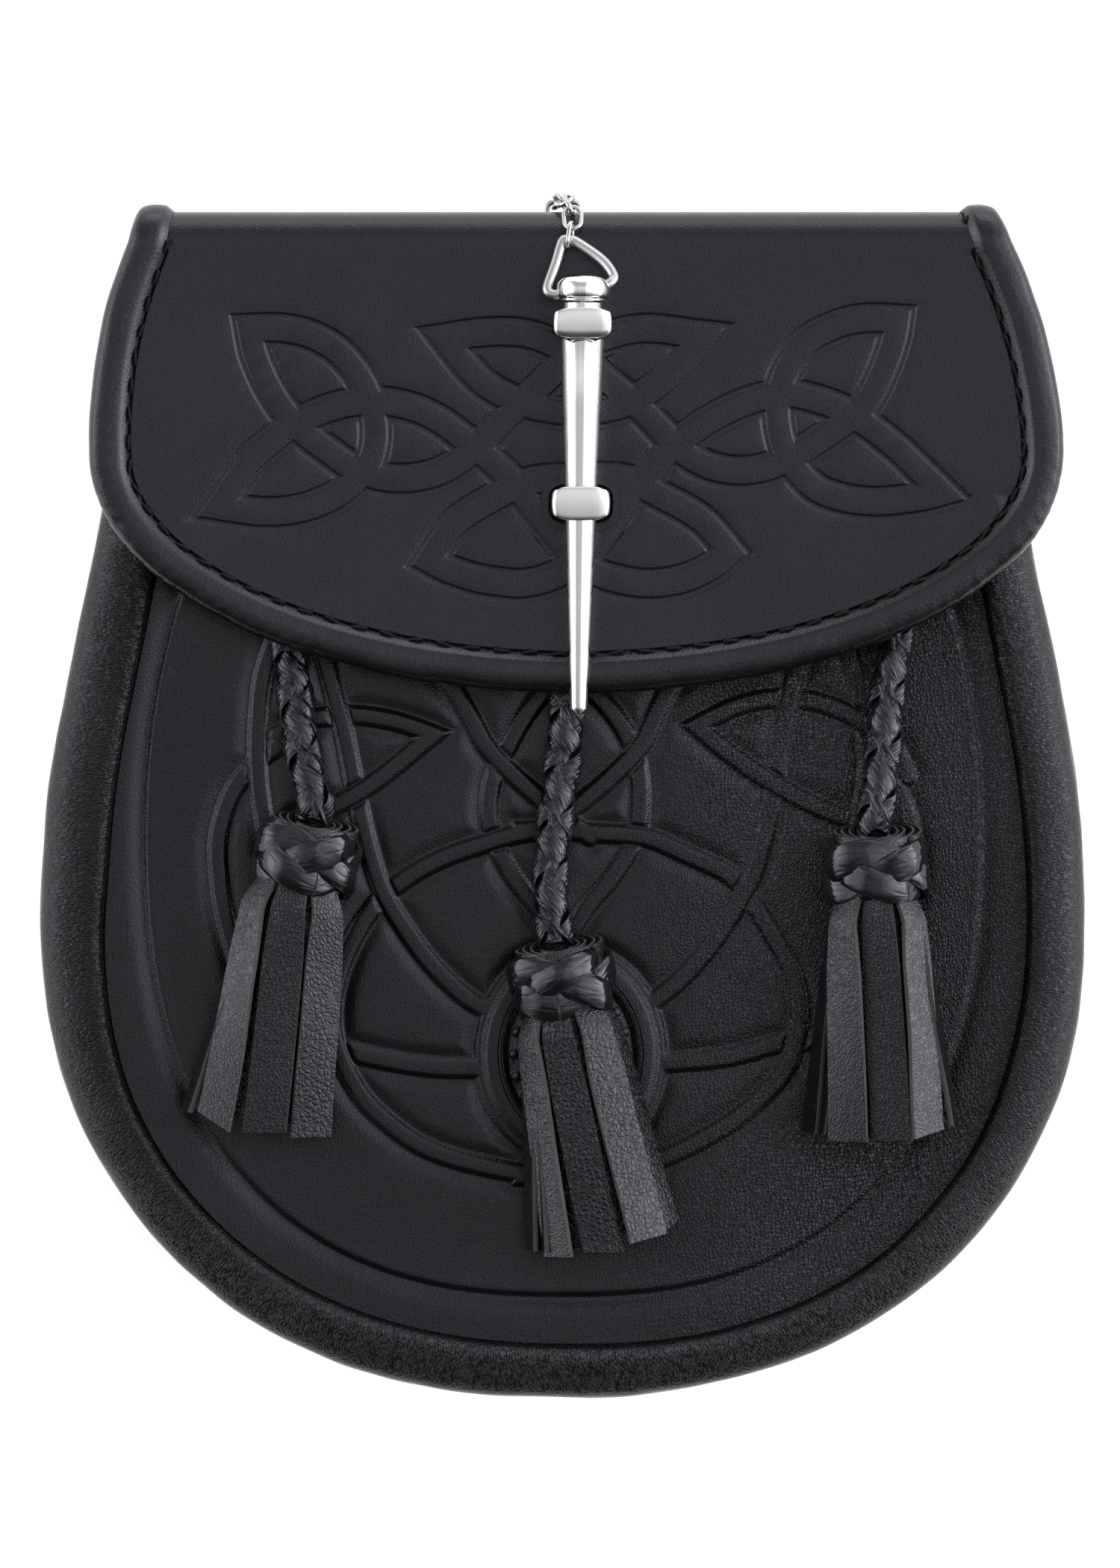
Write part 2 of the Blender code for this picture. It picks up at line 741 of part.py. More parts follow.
def strip_edges():
    """The angles of the strips' edges, so that all the strips are about equally wide."""
    steps = 720
    way, lengths = 0.0, [0.0]
    for i in range(steps):
        a = 2 * math.pi * (i + 0.5) / steps
        way += math.hypot(STRIP_SPREAD_ACROSS * math.sin(a), TIP_DEEP * math.cos(a))
        lengths.append(way)
    angles = []
    for i in range(STRIPS):
        for share in (i + 0.03, i + 0.97):  # the rest of the way round is the cuts
            wanted = way * share / STRIPS
            k = max(n for n in range(steps) if lengths[n] <= wanted)
            angles.append(2 * math.pi * (k + (wanted - lengths[k]) / (lengths[k + 1] - lengths[k])) / steps)
    return angles


def make_tassel(name, tassel, leather):
    """The rolled head, a cup open below, and the strips that its wall is cut into."""
    centre, down, across, up = tassel_frame(tassel)
    count = 2 * STRIPS
    angles = strip_edges()

    def ring(along, half_across, half_deep):
        place = centre + down * along
        return [
            place + across * half_across * math.cos(a) + up * half_deep * math.sin(a) for a in angles
        ]

    top = -KNOT_LENGTH / 2 - 0.4 * MM
    foot = KNOT_LENGTH / 2 + 2.5 * MM
    floor = top + 3 * MM
    thick = STRIP_THICK
    head = [
        ring(top, HEAD_ACROSS * 0.9, HEAD_DEEP * 0.9),
        ring(top + 0.6 * MM, HEAD_ACROSS, HEAD_DEEP),
        ring(foot, HEAD_ACROSS + 0.3 * MM, HEAD_DEEP + 0.3 * MM),
        ring(foot, HEAD_ACROSS + 0.3 * MM - thick, HEAD_DEEP + 0.3 * MM - thick),
        ring(floor, HEAD_ACROSS - thick, HEAD_DEEP - thick),
    ]
    bm = bmesh.new()
    rows = [[bm.verts.new(p) for p in points] for points in head]
    outer, inner = rows[2], rows[3]
    for row, other in ((rows[0], rows[1]), (rows[1], outer), (inner, rows[4])):
        for i in range(count):
            j = (i + 1) % count
            bm.faces.new((row[i], row[j], other[j], other[i]))
    bm.faces.new(rows[0])
    bm.faces.new(rows[4])
    for i in range(1, count, 2):
        j = (i + 1) % count
        bm.faces.new((outer[i], outer[j], inner[j], inner[i]))
    for down_share, out_share in ((0.3, 0.36), (0.65, 0.72), (1.0, 1.0)):  # how far down and out
        half_across = HEAD_ACROSS + (TIP_ACROSS - HEAD_ACROSS) * out_share
        half_deep = HEAD_DEEP + (TIP_DEEP - HEAD_DEEP) * out_share
        along = foot + (STRIP_LENGTH - 2.5 * MM) * down_share
        next_outer = [bm.verts.new(p) for p in ring(along, half_across, half_deep)]
        next_inner = [bm.verts.new(p) for p in ring(along, half_across - thick, half_deep - thick)]
        for i in range(0, count, 2):
            j = i + 1
            corners = (outer[i], outer[j], inner[j], inner[i])
            following = (next_outer[i], next_outer[j], next_inner[j], next_inner[i])
            for k in range(4):
                m = (k + 1) % 4
                bm.faces.new((corners[k], corners[m], following[m], following[k]))
        outer, inner = next_outer, next_inner
    for i in range(0, count, 2):
        bm.faces.new((outer[i], outer[i + 1], inner[i + 1], inner[i]))
    bmesh.ops.recalc_face_normals(bm, faces=bm.faces)
    bmesh.ops.triangulate(bm, faces=bm.faces)
    mesh = bpy.data.meshes.new(name)
    bm.to_mesh(mesh)
    bm.free()
    add_object(name, mesh, leather)


def cord_line(tassel):
    """The cord's centre line, from the front panel under the flap up into the knot."""
    centre, down, _, _ = tassel_frame(tassel)
    head_top = centre - down * (KNOT_LENGTH / 2 + 0.4 * MM + GAP)
    points = []
    lying = tassel["cord"]
    for i, (x, y) in enumerate(lying):
        surface = front_height(x * MM, y * MM) + CORD_THICK / 2 + GAP
        share = max(0.0, (i - 2) / (len(lying) - 2))
        share = share * share * (3 - 2 * share)
        height = surface + (head_top.z - surface) * share
        points.append(Vector((x * MM, y * MM, height)))
    return [*smooth_line([*points, head_top - down * 2.4 * MM], 20), head_top]


def make_cord(name, tassel, leather):
    """The braided thong that carries the tassel, as a plain round cord."""
    curve = bpy.data.curves.new(name, "CURVE")
    curve.dimensions = "3D"
    curve.bevel_depth = CORD_THICK / 2
    curve.bevel_resolution = 2
    curve.use_fill_caps = True
    line = cord_line(tassel)
    spline = curve.splines.new("POLY")
    spline.points.add(len(line) - 1)
    for spot, point in zip(spline.points, line):
        spot.co = (*point, 1)
    obj = bpy.data.objects.new(name, curve)
    obj.data.materials.append(leather)
    bpy.context.scene.collection.objects.link(obj)


def make_belt_loop(name, x, leather):
    """A plain strap sewn at its ends to the back, lying flat with a narrow space inside."""
    width = 24 * MM
    path = (
        ("top end", 72.0, 0.7),
        ("top seam", 62.0, 0.7),
        ("top bend", 57.0, 0.0),
        ("low bend", -3.0, 0.0),
        ("low seam", -8.0, 0.7),
        ("low end", -18.0, 0.7),
    )
    rings = []
    for _, y, low in path:
        z = low * MM
        rings.append(
            [
                Vector((x - width / 2, y * MM, z)),
                Vector((x + width / 2, y * MM, z)),
                Vector((x + width / 2, y * MM, z + LOOP_THICK)),
                Vector((x - width / 2, y * MM, z + LOOP_THICK)),
            ]
        )
    add_object(name, loft(name, rings), leather, smooth_under=math.radians(20))


def main():
    clear_scene()
    leather = make_material("black_leather", (0.018, 0.018, 0.021), 0.5)
    edge_leather = make_material("binding_leather", (0.016, 0.016, 0.019), 0.42)
    tassel_leather = make_material("tassel_leather", (0.03, 0.03, 0.034), 0.55)
    metal = make_material("chromed_metal", (0.86, 0.86, 0.88), 0.12, 1.0)

    make_gusset(leather)
    make_front_panel(leather)
    make_back_and_flap(leather)
    make_binding(edge_leather)
    for side, x in (("left", -42 * MM), ("right", 42 * MM)):
        make_belt_loop(f"belt_loop_{side}", x, leather)

    pin = make_pin(metal)
    upper = staple_centre(UPPER_STAPLE)
    lower = staple_centre(LOWER_STAPLE)
    make_staple("upper_staple", UPPER_STAPLE, flap_top(upper.y - 3 * MM) + GAP, metal)
    make_staple("lower_staple", LOWER_STAPLE, front_height(lower.x, lower.y) + GAP, metal)
    make_bail(pin, metal)
    make_chain(metal)
    make_chain_staple(metal)

    for side, tassel in TASSELS.items():
        make_knot(f"knot_{side}", tassel, edge_leather)
        make_tassel(f"tassel_{side}", tassel, tassel_leather)
        make_cord(f"cord_{side}", tassel, tassel_leather)


main()
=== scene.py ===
"""The looks of a black leather day sporran, lying on its back with its flap closed.

+X is to the right and +Y to the top of the front, and +Z comes out of the front. Every
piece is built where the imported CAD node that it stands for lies.
"""

import math

import bmesh
import bpy
import numpy as np
from mathutils import Matrix, Vector
from mathutils.geometry import delaunay_2d_cdt


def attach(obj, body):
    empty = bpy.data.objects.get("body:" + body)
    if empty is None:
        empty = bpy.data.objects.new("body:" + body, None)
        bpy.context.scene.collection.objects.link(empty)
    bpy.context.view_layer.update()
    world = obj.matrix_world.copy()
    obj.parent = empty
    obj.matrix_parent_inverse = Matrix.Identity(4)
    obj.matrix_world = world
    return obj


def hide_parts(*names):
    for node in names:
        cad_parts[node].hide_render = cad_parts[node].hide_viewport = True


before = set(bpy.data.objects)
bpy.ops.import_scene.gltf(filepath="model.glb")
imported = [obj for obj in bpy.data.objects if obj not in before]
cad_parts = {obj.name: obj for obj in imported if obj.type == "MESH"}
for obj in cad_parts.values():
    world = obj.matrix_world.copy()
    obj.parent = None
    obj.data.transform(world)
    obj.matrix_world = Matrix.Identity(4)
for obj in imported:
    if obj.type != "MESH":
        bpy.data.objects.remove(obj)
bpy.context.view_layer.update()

MM = 0.001
GAP = 0.3 * MM

# The pouch's outline, the sheet and the flap, as in the part's source.
HALF_WIDTH = 95.0 * MM
WIDEST_Y = -22.0 * MM
BELOW_WIDEST = 87.4 * MM
POUCH_POWER = 2.2
SIDE_RADIUS = 194.0 * MM
SIDE_LEAN = math.radians(11.5)
MOUTH_Y = 86.0 * MM
SHEET_THICK = 2.0 * MM
FRONT_Z = 30.4 * MM
FRONT_THICK = 2.0 * MM
FRONT_DOME = 1.2 * MM
BACK_INSET = 0.8 * MM
SHEET_BACK_Z = 4.0 * MM
TOP_Y = 105.2 * MM
FOLD_RADIUS = 5.0 * MM
FLAP_Z = 35.95 * MM
FLAP_RISE = math.radians(2.3)
FLAP_WIDEST_Y = 62.0 * MM
FLAP_HALF_WIDTH = 86.6 * MM
FLAP_BELOW = 41.4 * MM
FLAP_SIDE_RADIUS = 94.0 * MM
FLAP_SHIFT = 2.4 * MM
TOP_SHIFT = 1.2 * MM
FOLD_Y = TOP_Y - FOLD_RADIUS
BORDER_HALF_WIDTH = 76.1 * MM
BORDER_Y = -5.8 * MM
BORDER_BELOW = 84.8 * MM
BORDER_POWER = 2.45
BORDER_SIDE_RADIUS = 142.0 * MM
BINDING_END_Z = 9.0 * MM

# The closure and the tassels, as in the part's source.
PIN_TOP = Vector((3.6, 94.7, 43.65)) * MM
PIN_LEAN = math.radians(-0.6)
UPPER_STAPLE_FROM_TOP = 8.9 * MM
LOWER_STAPLE_FROM_TOP = 41.6 * MM
STAPLE_BAR_TOP = 49.25 * MM
BAIL_WIRE = 1.5 * MM
LINK_LENGTH = 5.8 * MM
LINK_WIDTH = 4.0 * MM
LINK_WIRE = 0.9 * MM
LINK_PITCH = 3.5 * MM
CHAIN = (  # each link: across, off the leather, roll in degrees
    (1.2, 2.3, 80),
    (1.7, 2.2, -5),
    (1.0, 2.2, 65),
    (0.3, 2.1, -30),
    (-0.4, 2.0, 50),
    (-0.7, 1.95, -45),
    (-0.6, 1.95, 45),
    (-0.3, 2.0, -42),
    (0.0, 2.1, 52),
)
KNOT_DEEP = 8.4 * MM
KNOT_LENGTH = 13.0 * MM
TIP_DEEP = 6.4 * MM
CORD_THICK = 4.8 * MM
TASSELS = {
    "left": {
        "cord": [(-52.6, 46), (-51.3, 36), (-49.8, 27), (-48.7, 18), (-47.6, 10), (-46.1, 3)],
        "knot": (-46.6, -10.9),
        "lean": -10.5,
    },
    "centre": {
        "cord": [(0.6, 32), (0.9, 23), (0.6, 14), (-0.3, 5), (-1.4, -4), (-2.3, -12), (-2.2, -18)],
        "knot": (-0.2, -33.4),
        "lean": 9.0,
    },
    "right": {
        "cord": [(59.2, 46), (60.6, 37), (60.1, 28), (58.9, 19), (58.2, 10), (57.4, 2)],
        "knot": (56.8, -12.9),
        "lean": 1.5,
    },
}

# The flap's pressed strands, each on its centre line in mm, from point to point. Strands
# whose ends meet share a sharp corner.
FLAP_STRAND_HALF = 1.95 * MM
FLAP_STRANDS = {
    "upper right arch": (
        (-21.4, 82.8), (-15.5, 83.7), (-10.1, 83.9), (-6, 83.4), (-2, 81.9), (1.8, 79.7),
        (4.8, 77.7), (8.2, 75), (11.6, 72.3), (14.5, 69.7), (17, 67.1), (19.2, 64.8), (21.4, 62.6),
        (23.8, 60.9), (27.2, 59.4), (31.3, 58.7), (35.3, 59), (38.7, 60), (42.8, 62.1),
        (46.9, 64.7), (50.3, 67), (53.3, 69.3), (55.7, 72.5), (57.7, 76.5), (59.2, 80.3),
        (60.2, 83.7), (60.6, 86.2),
    ),
    "upper left arch": (
        (-56.9, 84.5), (-56.2, 80.9), (-55, 77.6), (-53.4, 74.2), (-51.4, 70.9), (-49.2, 68.1),
        (-46.5, 65.3), (-42.7, 62.5), (-38.6, 59.6), (-34.5, 57.9), (-30.5, 57.3), (-26.4, 57.5),
        (-22.3, 58.6), (-18.9, 60.5), (-16.2, 62.6), (-14.3, 64.4), (-11.7, 67.1), (-9, 69.8),
        (-5.1, 73.3), (-1.3, 77), (2.1, 80), (5.9, 82.3), (10.2, 83.8), (14.3, 84.5), (18.4, 84.3),
        (21.8, 83.8), (25.2, 83.4),
    ),
    "upper bowl": (
        (-21.4, 82.8), (-18.7, 79.3), (-16.6, 76.9), (-14.2, 74.6), (-10.8, 72.5), (-7.4, 71),
        (-3.3, 70), (2.8, 69.4), (8.9, 70.2), (13, 71.7), (17, 74.2), (19.7, 76.6), (22.2, 79.6),
        (25.2, 83.4),
    ),
    "lower arch": (
        (-24.5, 42.7), (-22.7, 45.4), (-21.1, 47.7), (-18.9, 49.9), (-15.3, 52.3), (-10, 55.2),
        (-6, 56.8), (-2, 57.3), (2.8, 57.6), (7.5, 57.6), (11.6, 57.2), (15.8, 55.3), (18.7, 53.7),
        (22.2, 51.9), (26, 49.2), (30.3, 44.2),
    ),
    "right wave": (
        (-24.5, 42.7), (-21, 40.9), (-15.5, 39.1), (-10.1, 38.3), (-7.4, 38.2), (-3.3, 39),
        (1.4, 41.3), (4.8, 45), (8.2, 49.5), (11.6, 54.1), (15, 57.9), (18.4, 61.7), (20.7, 63.7),
        (23.1, 65.6), (26.5, 67.9), (30.6, 70.1), (34.7, 71.7), (39.4, 72.7), (42.8, 72.5),
        (46.9, 71.4), (51, 69.8), (54.3, 67.8), (57.7, 65.3), (61.1, 62.5), (64.5, 59.2),
        (68.9, 54.9),
    ),
    "left wave": (
        (-62.8, 52.3), (-60.9, 55), (-58.6, 58.4), (-56.5, 61.1), (-53.5, 63.7), (-50.1, 66.4),
        (-47.4, 67.9), (-44, 69.5), (-40.6, 70.6), (-36.6, 71.3), (-32.5, 71.3), (-28.4, 70.5),
        (-25, 69.3), (-21.6, 67.4), (-18.3, 64.9), (-15.5, 62.9), (-13.9, 61.5), (-9.8, 57.6),
        (-7, 54.1), (-2, 48.1), (1.4, 44), (5.5, 40.5), (10.2, 38.9), (15, 38.2), (19.7, 38.6),
        (23.8, 39.8), (27.9, 42), (30.3, 44.2),
    ),
    "left leaf": (
        (-56.9, 84.5), (-51.5, 84.6), (-46.7, 83.7), (-42, 81.4), (-38.6, 78.2), (-36.2, 74.6),
        (-34.7, 70.4), (-34.1, 66), (-34.7, 61.9), (-36.7, 58.3), (-40, 55.2), (-44, 53),
        (-48.8, 51.6), (-54.2, 51.2), (-59.6, 51.8), (-62.8, 52.3),
    ),
    "right leaf": (
        (60.6, 86.2), (56.4, 86.4), (52.3, 86), (48.2, 84.6), (44.8, 82.7), (42, 79.6),
        (40.1, 76.3), (39.1, 72.8), (38.9, 68.7), (39.6, 64.7), (40.8, 61.7), (42.8, 58.6),
        (46.2, 55.4), (51, 53.7), (55.7, 53.1), (60.5, 53.3), (65.9, 54.1), (68.9, 54.9),
    ),
}
# The front's pressed ribs, in mm. A rib that ends on another runs under it.
FRONT_RIB_HALF = 1.5 * MM
FRONT_RIBS = {
    "big ring right": (
        (0.3, -6.2), (6.2, -6.7), (11.6, -7), (16.4, -7.9), (21.6, -10.2), (26.5, -12.4),
        (30.6, -14.6), (34, -18.8), (37.7, -24.6), (41.5, -31.7), (42.9, -38.5), (42.3, -44.6),
        (40.1, -50), (35.3, -55.4), (30.6, -59.2), (25.2, -62.4), (19.7, -65.1), (13, -67.4),
        (6.2, -68.7), (0.3, -69.3),
    ),
    "big ring left": (
        (0.3, -69.3), (-4.7, -69.1), (-10.1, -68.1), (-15.5, -67), (-21, -65.5), (-26.4, -63.2),
        (-31.1, -59.9), (-35.9, -55.4), (-39.7, -49.3), (-41.6, -43.9), (-41.9, -37.8),
        (-40.6, -31.7), (-38.3, -26.3), (-35.2, -21.1), (-31.8, -17.4), (-26.4, -13.6),
        (-21, -10.9), (-15.5, -9), (-10.1, -7.3), (-4.7, -6.3), (0.3, -6.2),
    ),
    "falling left": (
        (-44.7, 29.4), (-43.1, 24), (-41.3, 17.2), (-39.7, 11.1), (-37.7, 0.9), (-35.6, -8.6),
        (-33, -16.8), (-29.1, -23.5), (-24.1, -30.3), (-18.3, -36), (-14.2, -38.7), (-7.4, -43.2),
        (0.3, -46.6), (6.2, -48),
    ),
    "falling right": (
        (43.9, 28), (42.3, 22.6), (40.5, 14.5), (39.1, 6.3), (37.8, -1.8), (36, -9.3), (34, -15.4),
        (27.9, -25.6), (21.8, -32.8), (15.7, -37.8), (8.9, -42.5), (0.3, -46.6), (-7.4, -48.6),
    ),
    "left lobe": (
        (-51.9, 11.1), (-48.1, 13.4), (-42.7, 14.5), (-37.2, 14.7), (-31.8, 13.9), (-27.5, 12.7),
        (-23.5, 11.2),
    ),
    "left lobe back": (
        (-23.5, 11.2), (-26.8, 8.5), (-30.9, 5.1), (-34.5, 2.4), (-38.6, -0.2), (-44, -2.9),
        (-49.5, -5.1),
    ),
    "right lobe": (
        (24.2, 12.8), (28.6, 15.1), (33.3, 16.9), (38.7, 17.8), (44.8, 17.4), (50.3, 15.7),
        (55, 13.1), (59.8, 9), (62.5, 3.6),
    ),
    "right lobe back": (
        (24.2, 12.8), (28.6, 9), (33.3, 5.5), (38.7, 2), (45.5, -1.6), (52.3, -4.3), (59.1, -6.2),
    ),
    "left side": (
        (-51.6, 30.1), (-53.8, 24.6), (-54.9, 19.9), (-55.4, 14.5), (-55.6, 9), (-55.3, 2.2),
        (-54.3, -4.5), (-52.4, -11.3), (-49.5, -18.1),
    ),
    "right side": (
        (51, 29.4), (52.6, 24), (53.9, 18.5), (55, 13.1), (55.4, 7.7), (55, 2.2), (53.9, -3.9),
        (52.3, -10),
    ),
    "left ring": (
        (-51.9, 9), (-54.9, 7), (-57.6, 4.3), (-60.2, 0.6), (-61.9, -3.9), (-62.8, -8.6),
        (-62.6, -14), (-61.8, -20.2), (-60, -26.9), (-56.9, -34.4), (-52.2, -41.2), (-46.7, -45.3),
        (-40.6, -46.1), (-31.8, -48.1), (-23.7, -49.3), (-15.5, -49.5), (-7.4, -49.6),
    ),
    "right ring": (
        (55, 9), (58.3, 4.5), (60.9, 0.6), (62.8, -4.5), (63.4, -10), (63.2, -15.4), (61.8, -22.2),
        (59.8, -28.3), (56.4, -35.8), (51, -41.9), (44.8, -44.2), (38.7, -45), (33.3, -46.6),
        (27.9, -47.7), (17, -48.6), (6.2, -49.3),
    ),
    "cross left": (
        (-24.4, 26.7), (-20.6, 20.6), (-16.9, 14.5), (-13.9, 9), (-8.8, 3.6), (-3.3, -1.2),
        (0.3, -3.9), (4.8, -7.3),
    ),
    "cross right": (
        (23.8, 26.7), (19.7, 20.6), (17, 15.1), (14, 9), (8.9, 3.6), (4.1, -0.5), (0.3, -3.2),
        (-4.7, -6.6),
    ),
    "eye left": (
        (0.3, 21.9), (-3.3, 19.2), (-7, 14.5), (-10.1, 9), (-12.6, 3.6), (-13.5, -1.8),
        (-12.7, -7.3), (-9.8, -13.4), (-5.8, -18.8), (-2, -22.9), (0.3, -25.6),
    ),
    "eye right": (
        (0.3, 21.9), (5.5, 18.8), (10, 13.8), (12.8, 8.3), (14, 2.2), (13.8, -4.5), (12.3, -9.3),
        (8.9, -14.7), (4.8, -19.5), (2.1, -23.5), (0.3, -25.6),
    ),
}


# ---- lines and outlines ----------------------------------------------------------------


def run_along(line):
    """How far along a line each of its points lies."""
    return np.r_[0, np.cumsum(np.linalg.norm(np.diff(line, axis=0), axis=1))]


def read_at(wanted, reach, values):
    """A table's rows at the wanted places along it."""
    return np.stack([np.interp(wanted, reach, column) for column in values.T], 1)


def unit(vectors):
    return vectors / np.linalg.norm(vectors, axis=1)[:, None]


def eased(share):
    """A share that starts and ends softly."""
    return share * share * (3 - 2 * share)


def side_by_side(first, second):
    """The values of two grids as rows of pairs."""
    first, second = np.broadcast_arrays(first, second)
    return np.stack([first.ravel(), second.ravel()], 1)


def grid_lines(across, along, step):
    """The places of a grid's columns and rows, from mm."""
    return [np.arange(low * MM, high * MM, step * MM) for low, high in (across, along)]


def evenly(points, count):
    """The same line as count points an equal way apart."""
    line = np.array([tuple(p) for p in points], float)
    reach = run_along(line)
    return read_at(np.linspace(0, reach[-1], count), reach, line)


def through(points, step=None, count=None):
    """A Catmull-Rom curve through points, with points about a step apart."""
    p = np.array([tuple(q) for q in points], float)
    p = np.vstack([2 * p[0] - p[1], p, 2 * p[-1] - p[-2]])
    t = np.linspace(0, 1, 16, endpoint=False)[:, None]
    dense = [
        (b * 2 + (c - a) * t + (a * 2 - b * 5 + c * 4 - d) * t**2 + (b * 3 - a - c * 3 + d) * t**3) / 2
        for a, b, c, d in zip(p, p[1:], p[2:], p[3:])
    ]
    dense = np.vstack([*dense, p[-2][None]])
    return evenly(dense, count or max(3, int(round(run_along(dense)[-1] / step)) + 1))


def ways(points, closed=False):
    """The unit direction of a line at each of its points."""
    p = np.asarray(points, float)
    return unit(np.roll(p, -1, 0) - np.roll(p, 1, 0) if closed else np.gradient(p, axis=0))


def evened(way, times):
    """Directions with each corner shared out among its neighbours."""
    for _ in range(times):
        way[1:-1] = (way[:-2] + way[1:-1] * 2 + way[2:]) / 4
    return way


def superellipse(half_width, below, power, centre_y, steps=160):
    turn = np.linspace(0, math.pi / 2, steps + 1)
    x = half_width * np.maximum(0, np.cos(turn)) ** (2 / power)
    return np.stack([x, centre_y - below * np.sin(turn) ** (2 / power)], 1)


def side_above(half_width, radius, lean, centre_y, top_y, steps=80):
    up = (top_y - centre_y) * np.arange(1, steps + 1) / steps
    on_arc = np.minimum(up, radius * math.sin(lean))
    inwards = radius - np.sqrt(radius**2 - on_arc**2) + (up - on_arc) * math.tan(min(lean, 1.5))
    return np.stack([half_width - inwards, centre_y + up], 1)


def pouch_half(top_y):
    above = side_above(HALF_WIDTH, SIDE_RADIUS, SIDE_LEAN, WIDEST_Y, top_y)
    return np.vstack([above[::-1], superellipse(HALF_WIDTH, BELOW_WIDEST, POUCH_POWER, WIDEST_Y)])


def border_half():
    above = side_above(BORDER_HALF_WIDTH, BORDER_SIDE_RADIUS, math.pi / 2, BORDER_Y, MOUTH_Y - 8 * MM)
    below = superellipse(BORDER_HALF_WIDTH, BORDER_BELOW, BORDER_POWER, BORDER_Y)
    return np.vstack([above[::-1], below])


def flap_half():
    above = side_above(FLAP_HALF_WIDTH, FLAP_SIDE_RADIUS, math.pi / 2, FLAP_WIDEST_Y, FOLD_Y)
    return np.vstack([above[::-1], superellipse(FLAP_HALF_WIDTH, FLAP_BELOW, 2.0, FLAP_WIDEST_Y)])


def both_sides(right):
    """A whole outline, from the right top round the bottom to the left top."""
    left = right[:-1][::-1] * np.array([-1, 1])
    return np.vstack([right, left])


def inset(points, distance):
    way = ways(points)
    return points + np.stack([way[:, 1], -way[:, 0]], 1) * distance


def front_height(x, y):
    """The outer face of the front panel: a low dome over a flat edge."""
    from_middle = np.hypot(x / 75.0, (y + 12 * MM) / 92.0) / MM
    return FRONT_Z + FRONT_DOME * np.maximum(0, 1 - from_middle**2)


def flap_middle(y):
    """The middle of the flap's leather."""
    return FLAP_Z + (FOLD_Y - y) * math.tan(FLAP_RISE)


# ---- meshes ----------------------------------------------------------------------------


def make_object(name, points, faces, materials, smooth_under, uv=None, parts=None):
    """A mesh object with its faces pointing outwards.

    uv gives each point its place on the surface in metres, and parts each face's material.
    """
    mesh = bpy.data.meshes.new(name)
    mesh.from_pydata([tuple(p) for p in points], [], faces)
    for material in materials:
        mesh.materials.append(material)
    if uv is not None:
        layer = mesh.uv_layers.new(name="surface")
        corner = np.empty(len(mesh.loops), np.int32)
        mesh.loops.foreach_get("vertex_index", corner)
        layer.data.foreach_set("uv", np.asarray(uv, np.float32)[corner].ravel())
    if parts is not None:
        mesh.polygons.foreach_set("material_index", np.asarray(parts, np.int32))
    bm = bmesh.new()
    bm.from_mesh(mesh)
    bmesh.ops.recalc_face_normals(bm, faces=bm.faces)
    bm.to_mesh(mesh)
    bm.free()
    mesh.shade_smooth()
    mesh.set_sharp_from_angle(angle=math.radians(smooth_under))
    obj = bpy.data.objects.new(name, mesh)
    bpy.context.scene.collection.objects.link(obj)
    return obj


def round_section(radius, sides, power=1.0):
    """A closed section: round, or squarer where the power is under one."""
    turn = 2 * math.pi * np.arange(sides) / sides
    ring = np.stack([np.cos(turn), np.sin(turn)], 1)
    return radius * (np.sign(ring) * np.abs(ring) ** power)


def tube_faces(rows, columns, closed=False, first=0):
    """The faces of a tube of rings: closed in itself, or with a cap at each end."""
    faces = []
    for r in range(rows if closed else rows - 1):
        here, there = first + r * columns, first + (r + 1) % rows * columns
        for c in range(columns):
            beside = (c + 1) % columns
            faces.append([here + c, here + beside, there + beside, there + c])
    if not closed:
        last = first + (rows - 1) * columns
        faces += [list(range(first, first + columns)), list(range(last, last + columns))[::-1]]
    return faces


def tube_uv(rings):
    """Metres along and round a tube."""
    around = np.linalg.norm(np.diff(rings, axis=1), axis=2).mean(0)
    return side_by_side(run_along(rings.mean(1))[:, None], np.r_[0, np.cumsum(around)])


def joined(tubes):
    """Several tubes as one piece: its points, its faces and the places on its surface.

    Each tube comes with the shift of its places, so that no two have the same grain.
    """
    points, faces, uv = [], [], []
    first = 0
    for rings, shift in tubes:
        faces += tube_faces(*rings.shape[:2], first=first)
        points.append(rings.reshape(-1, 3))
        uv.append(tube_uv(rings) + np.array(shift))
        first += len(points[-1])
    return np.vstack(points), faces, np.vstack(uv)


def make_tube(name, rings, material, smooth_under, uv=None, closed=False):
    faces = tube_faces(*rings.shape[:2], closed)
    return make_object(name, rings.reshape(-1, 3), faces, [material], smooth_under, uv)


def waves(points, size, seed, octaves=2):
    """Smooth noise from -1 to 1 at points, with humps of about this size."""
    rng = np.random.default_rng(seed)
    p = np.asarray(points, float)
    total = np.zeros(len(p))
    weight = 0.0
    for octave in range(octaves):
        scale = 2 * math.pi / size * 1.9**octave
        for _ in range(7):
            way = rng.normal(size=p.shape[1])
            way *= scale * rng.uniform(0.6, 1.2) / np.linalg.norm(way)
            total += np.sin(p @ way + rng.uniform(0, 2 * math.pi)) * 0.6**octave
        weight += 7 * 0.6**octave
    return np.clip(total / math.sqrt(weight) / 1.3, -1.5, 1.5)


def rings_on(line, side, up, across, lift):
    """Rings round a line, from their distances to its side and up from it."""
    return line[:, None] + side[:, None] * across[..., None] + up[:, None] * lift[..., None]


def upright(way, up):
    """The unit direction square to the way that is nearest to up."""
    return unit(up - way * np.sum(up * way, 1)[:, None])


def settle(obj, slot, *nodes):
    """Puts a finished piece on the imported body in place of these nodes."""
    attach(obj, "root")
    if nodes:
        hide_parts(*nodes)


# ---- pressed lines in leather ----------------------------------------------------------

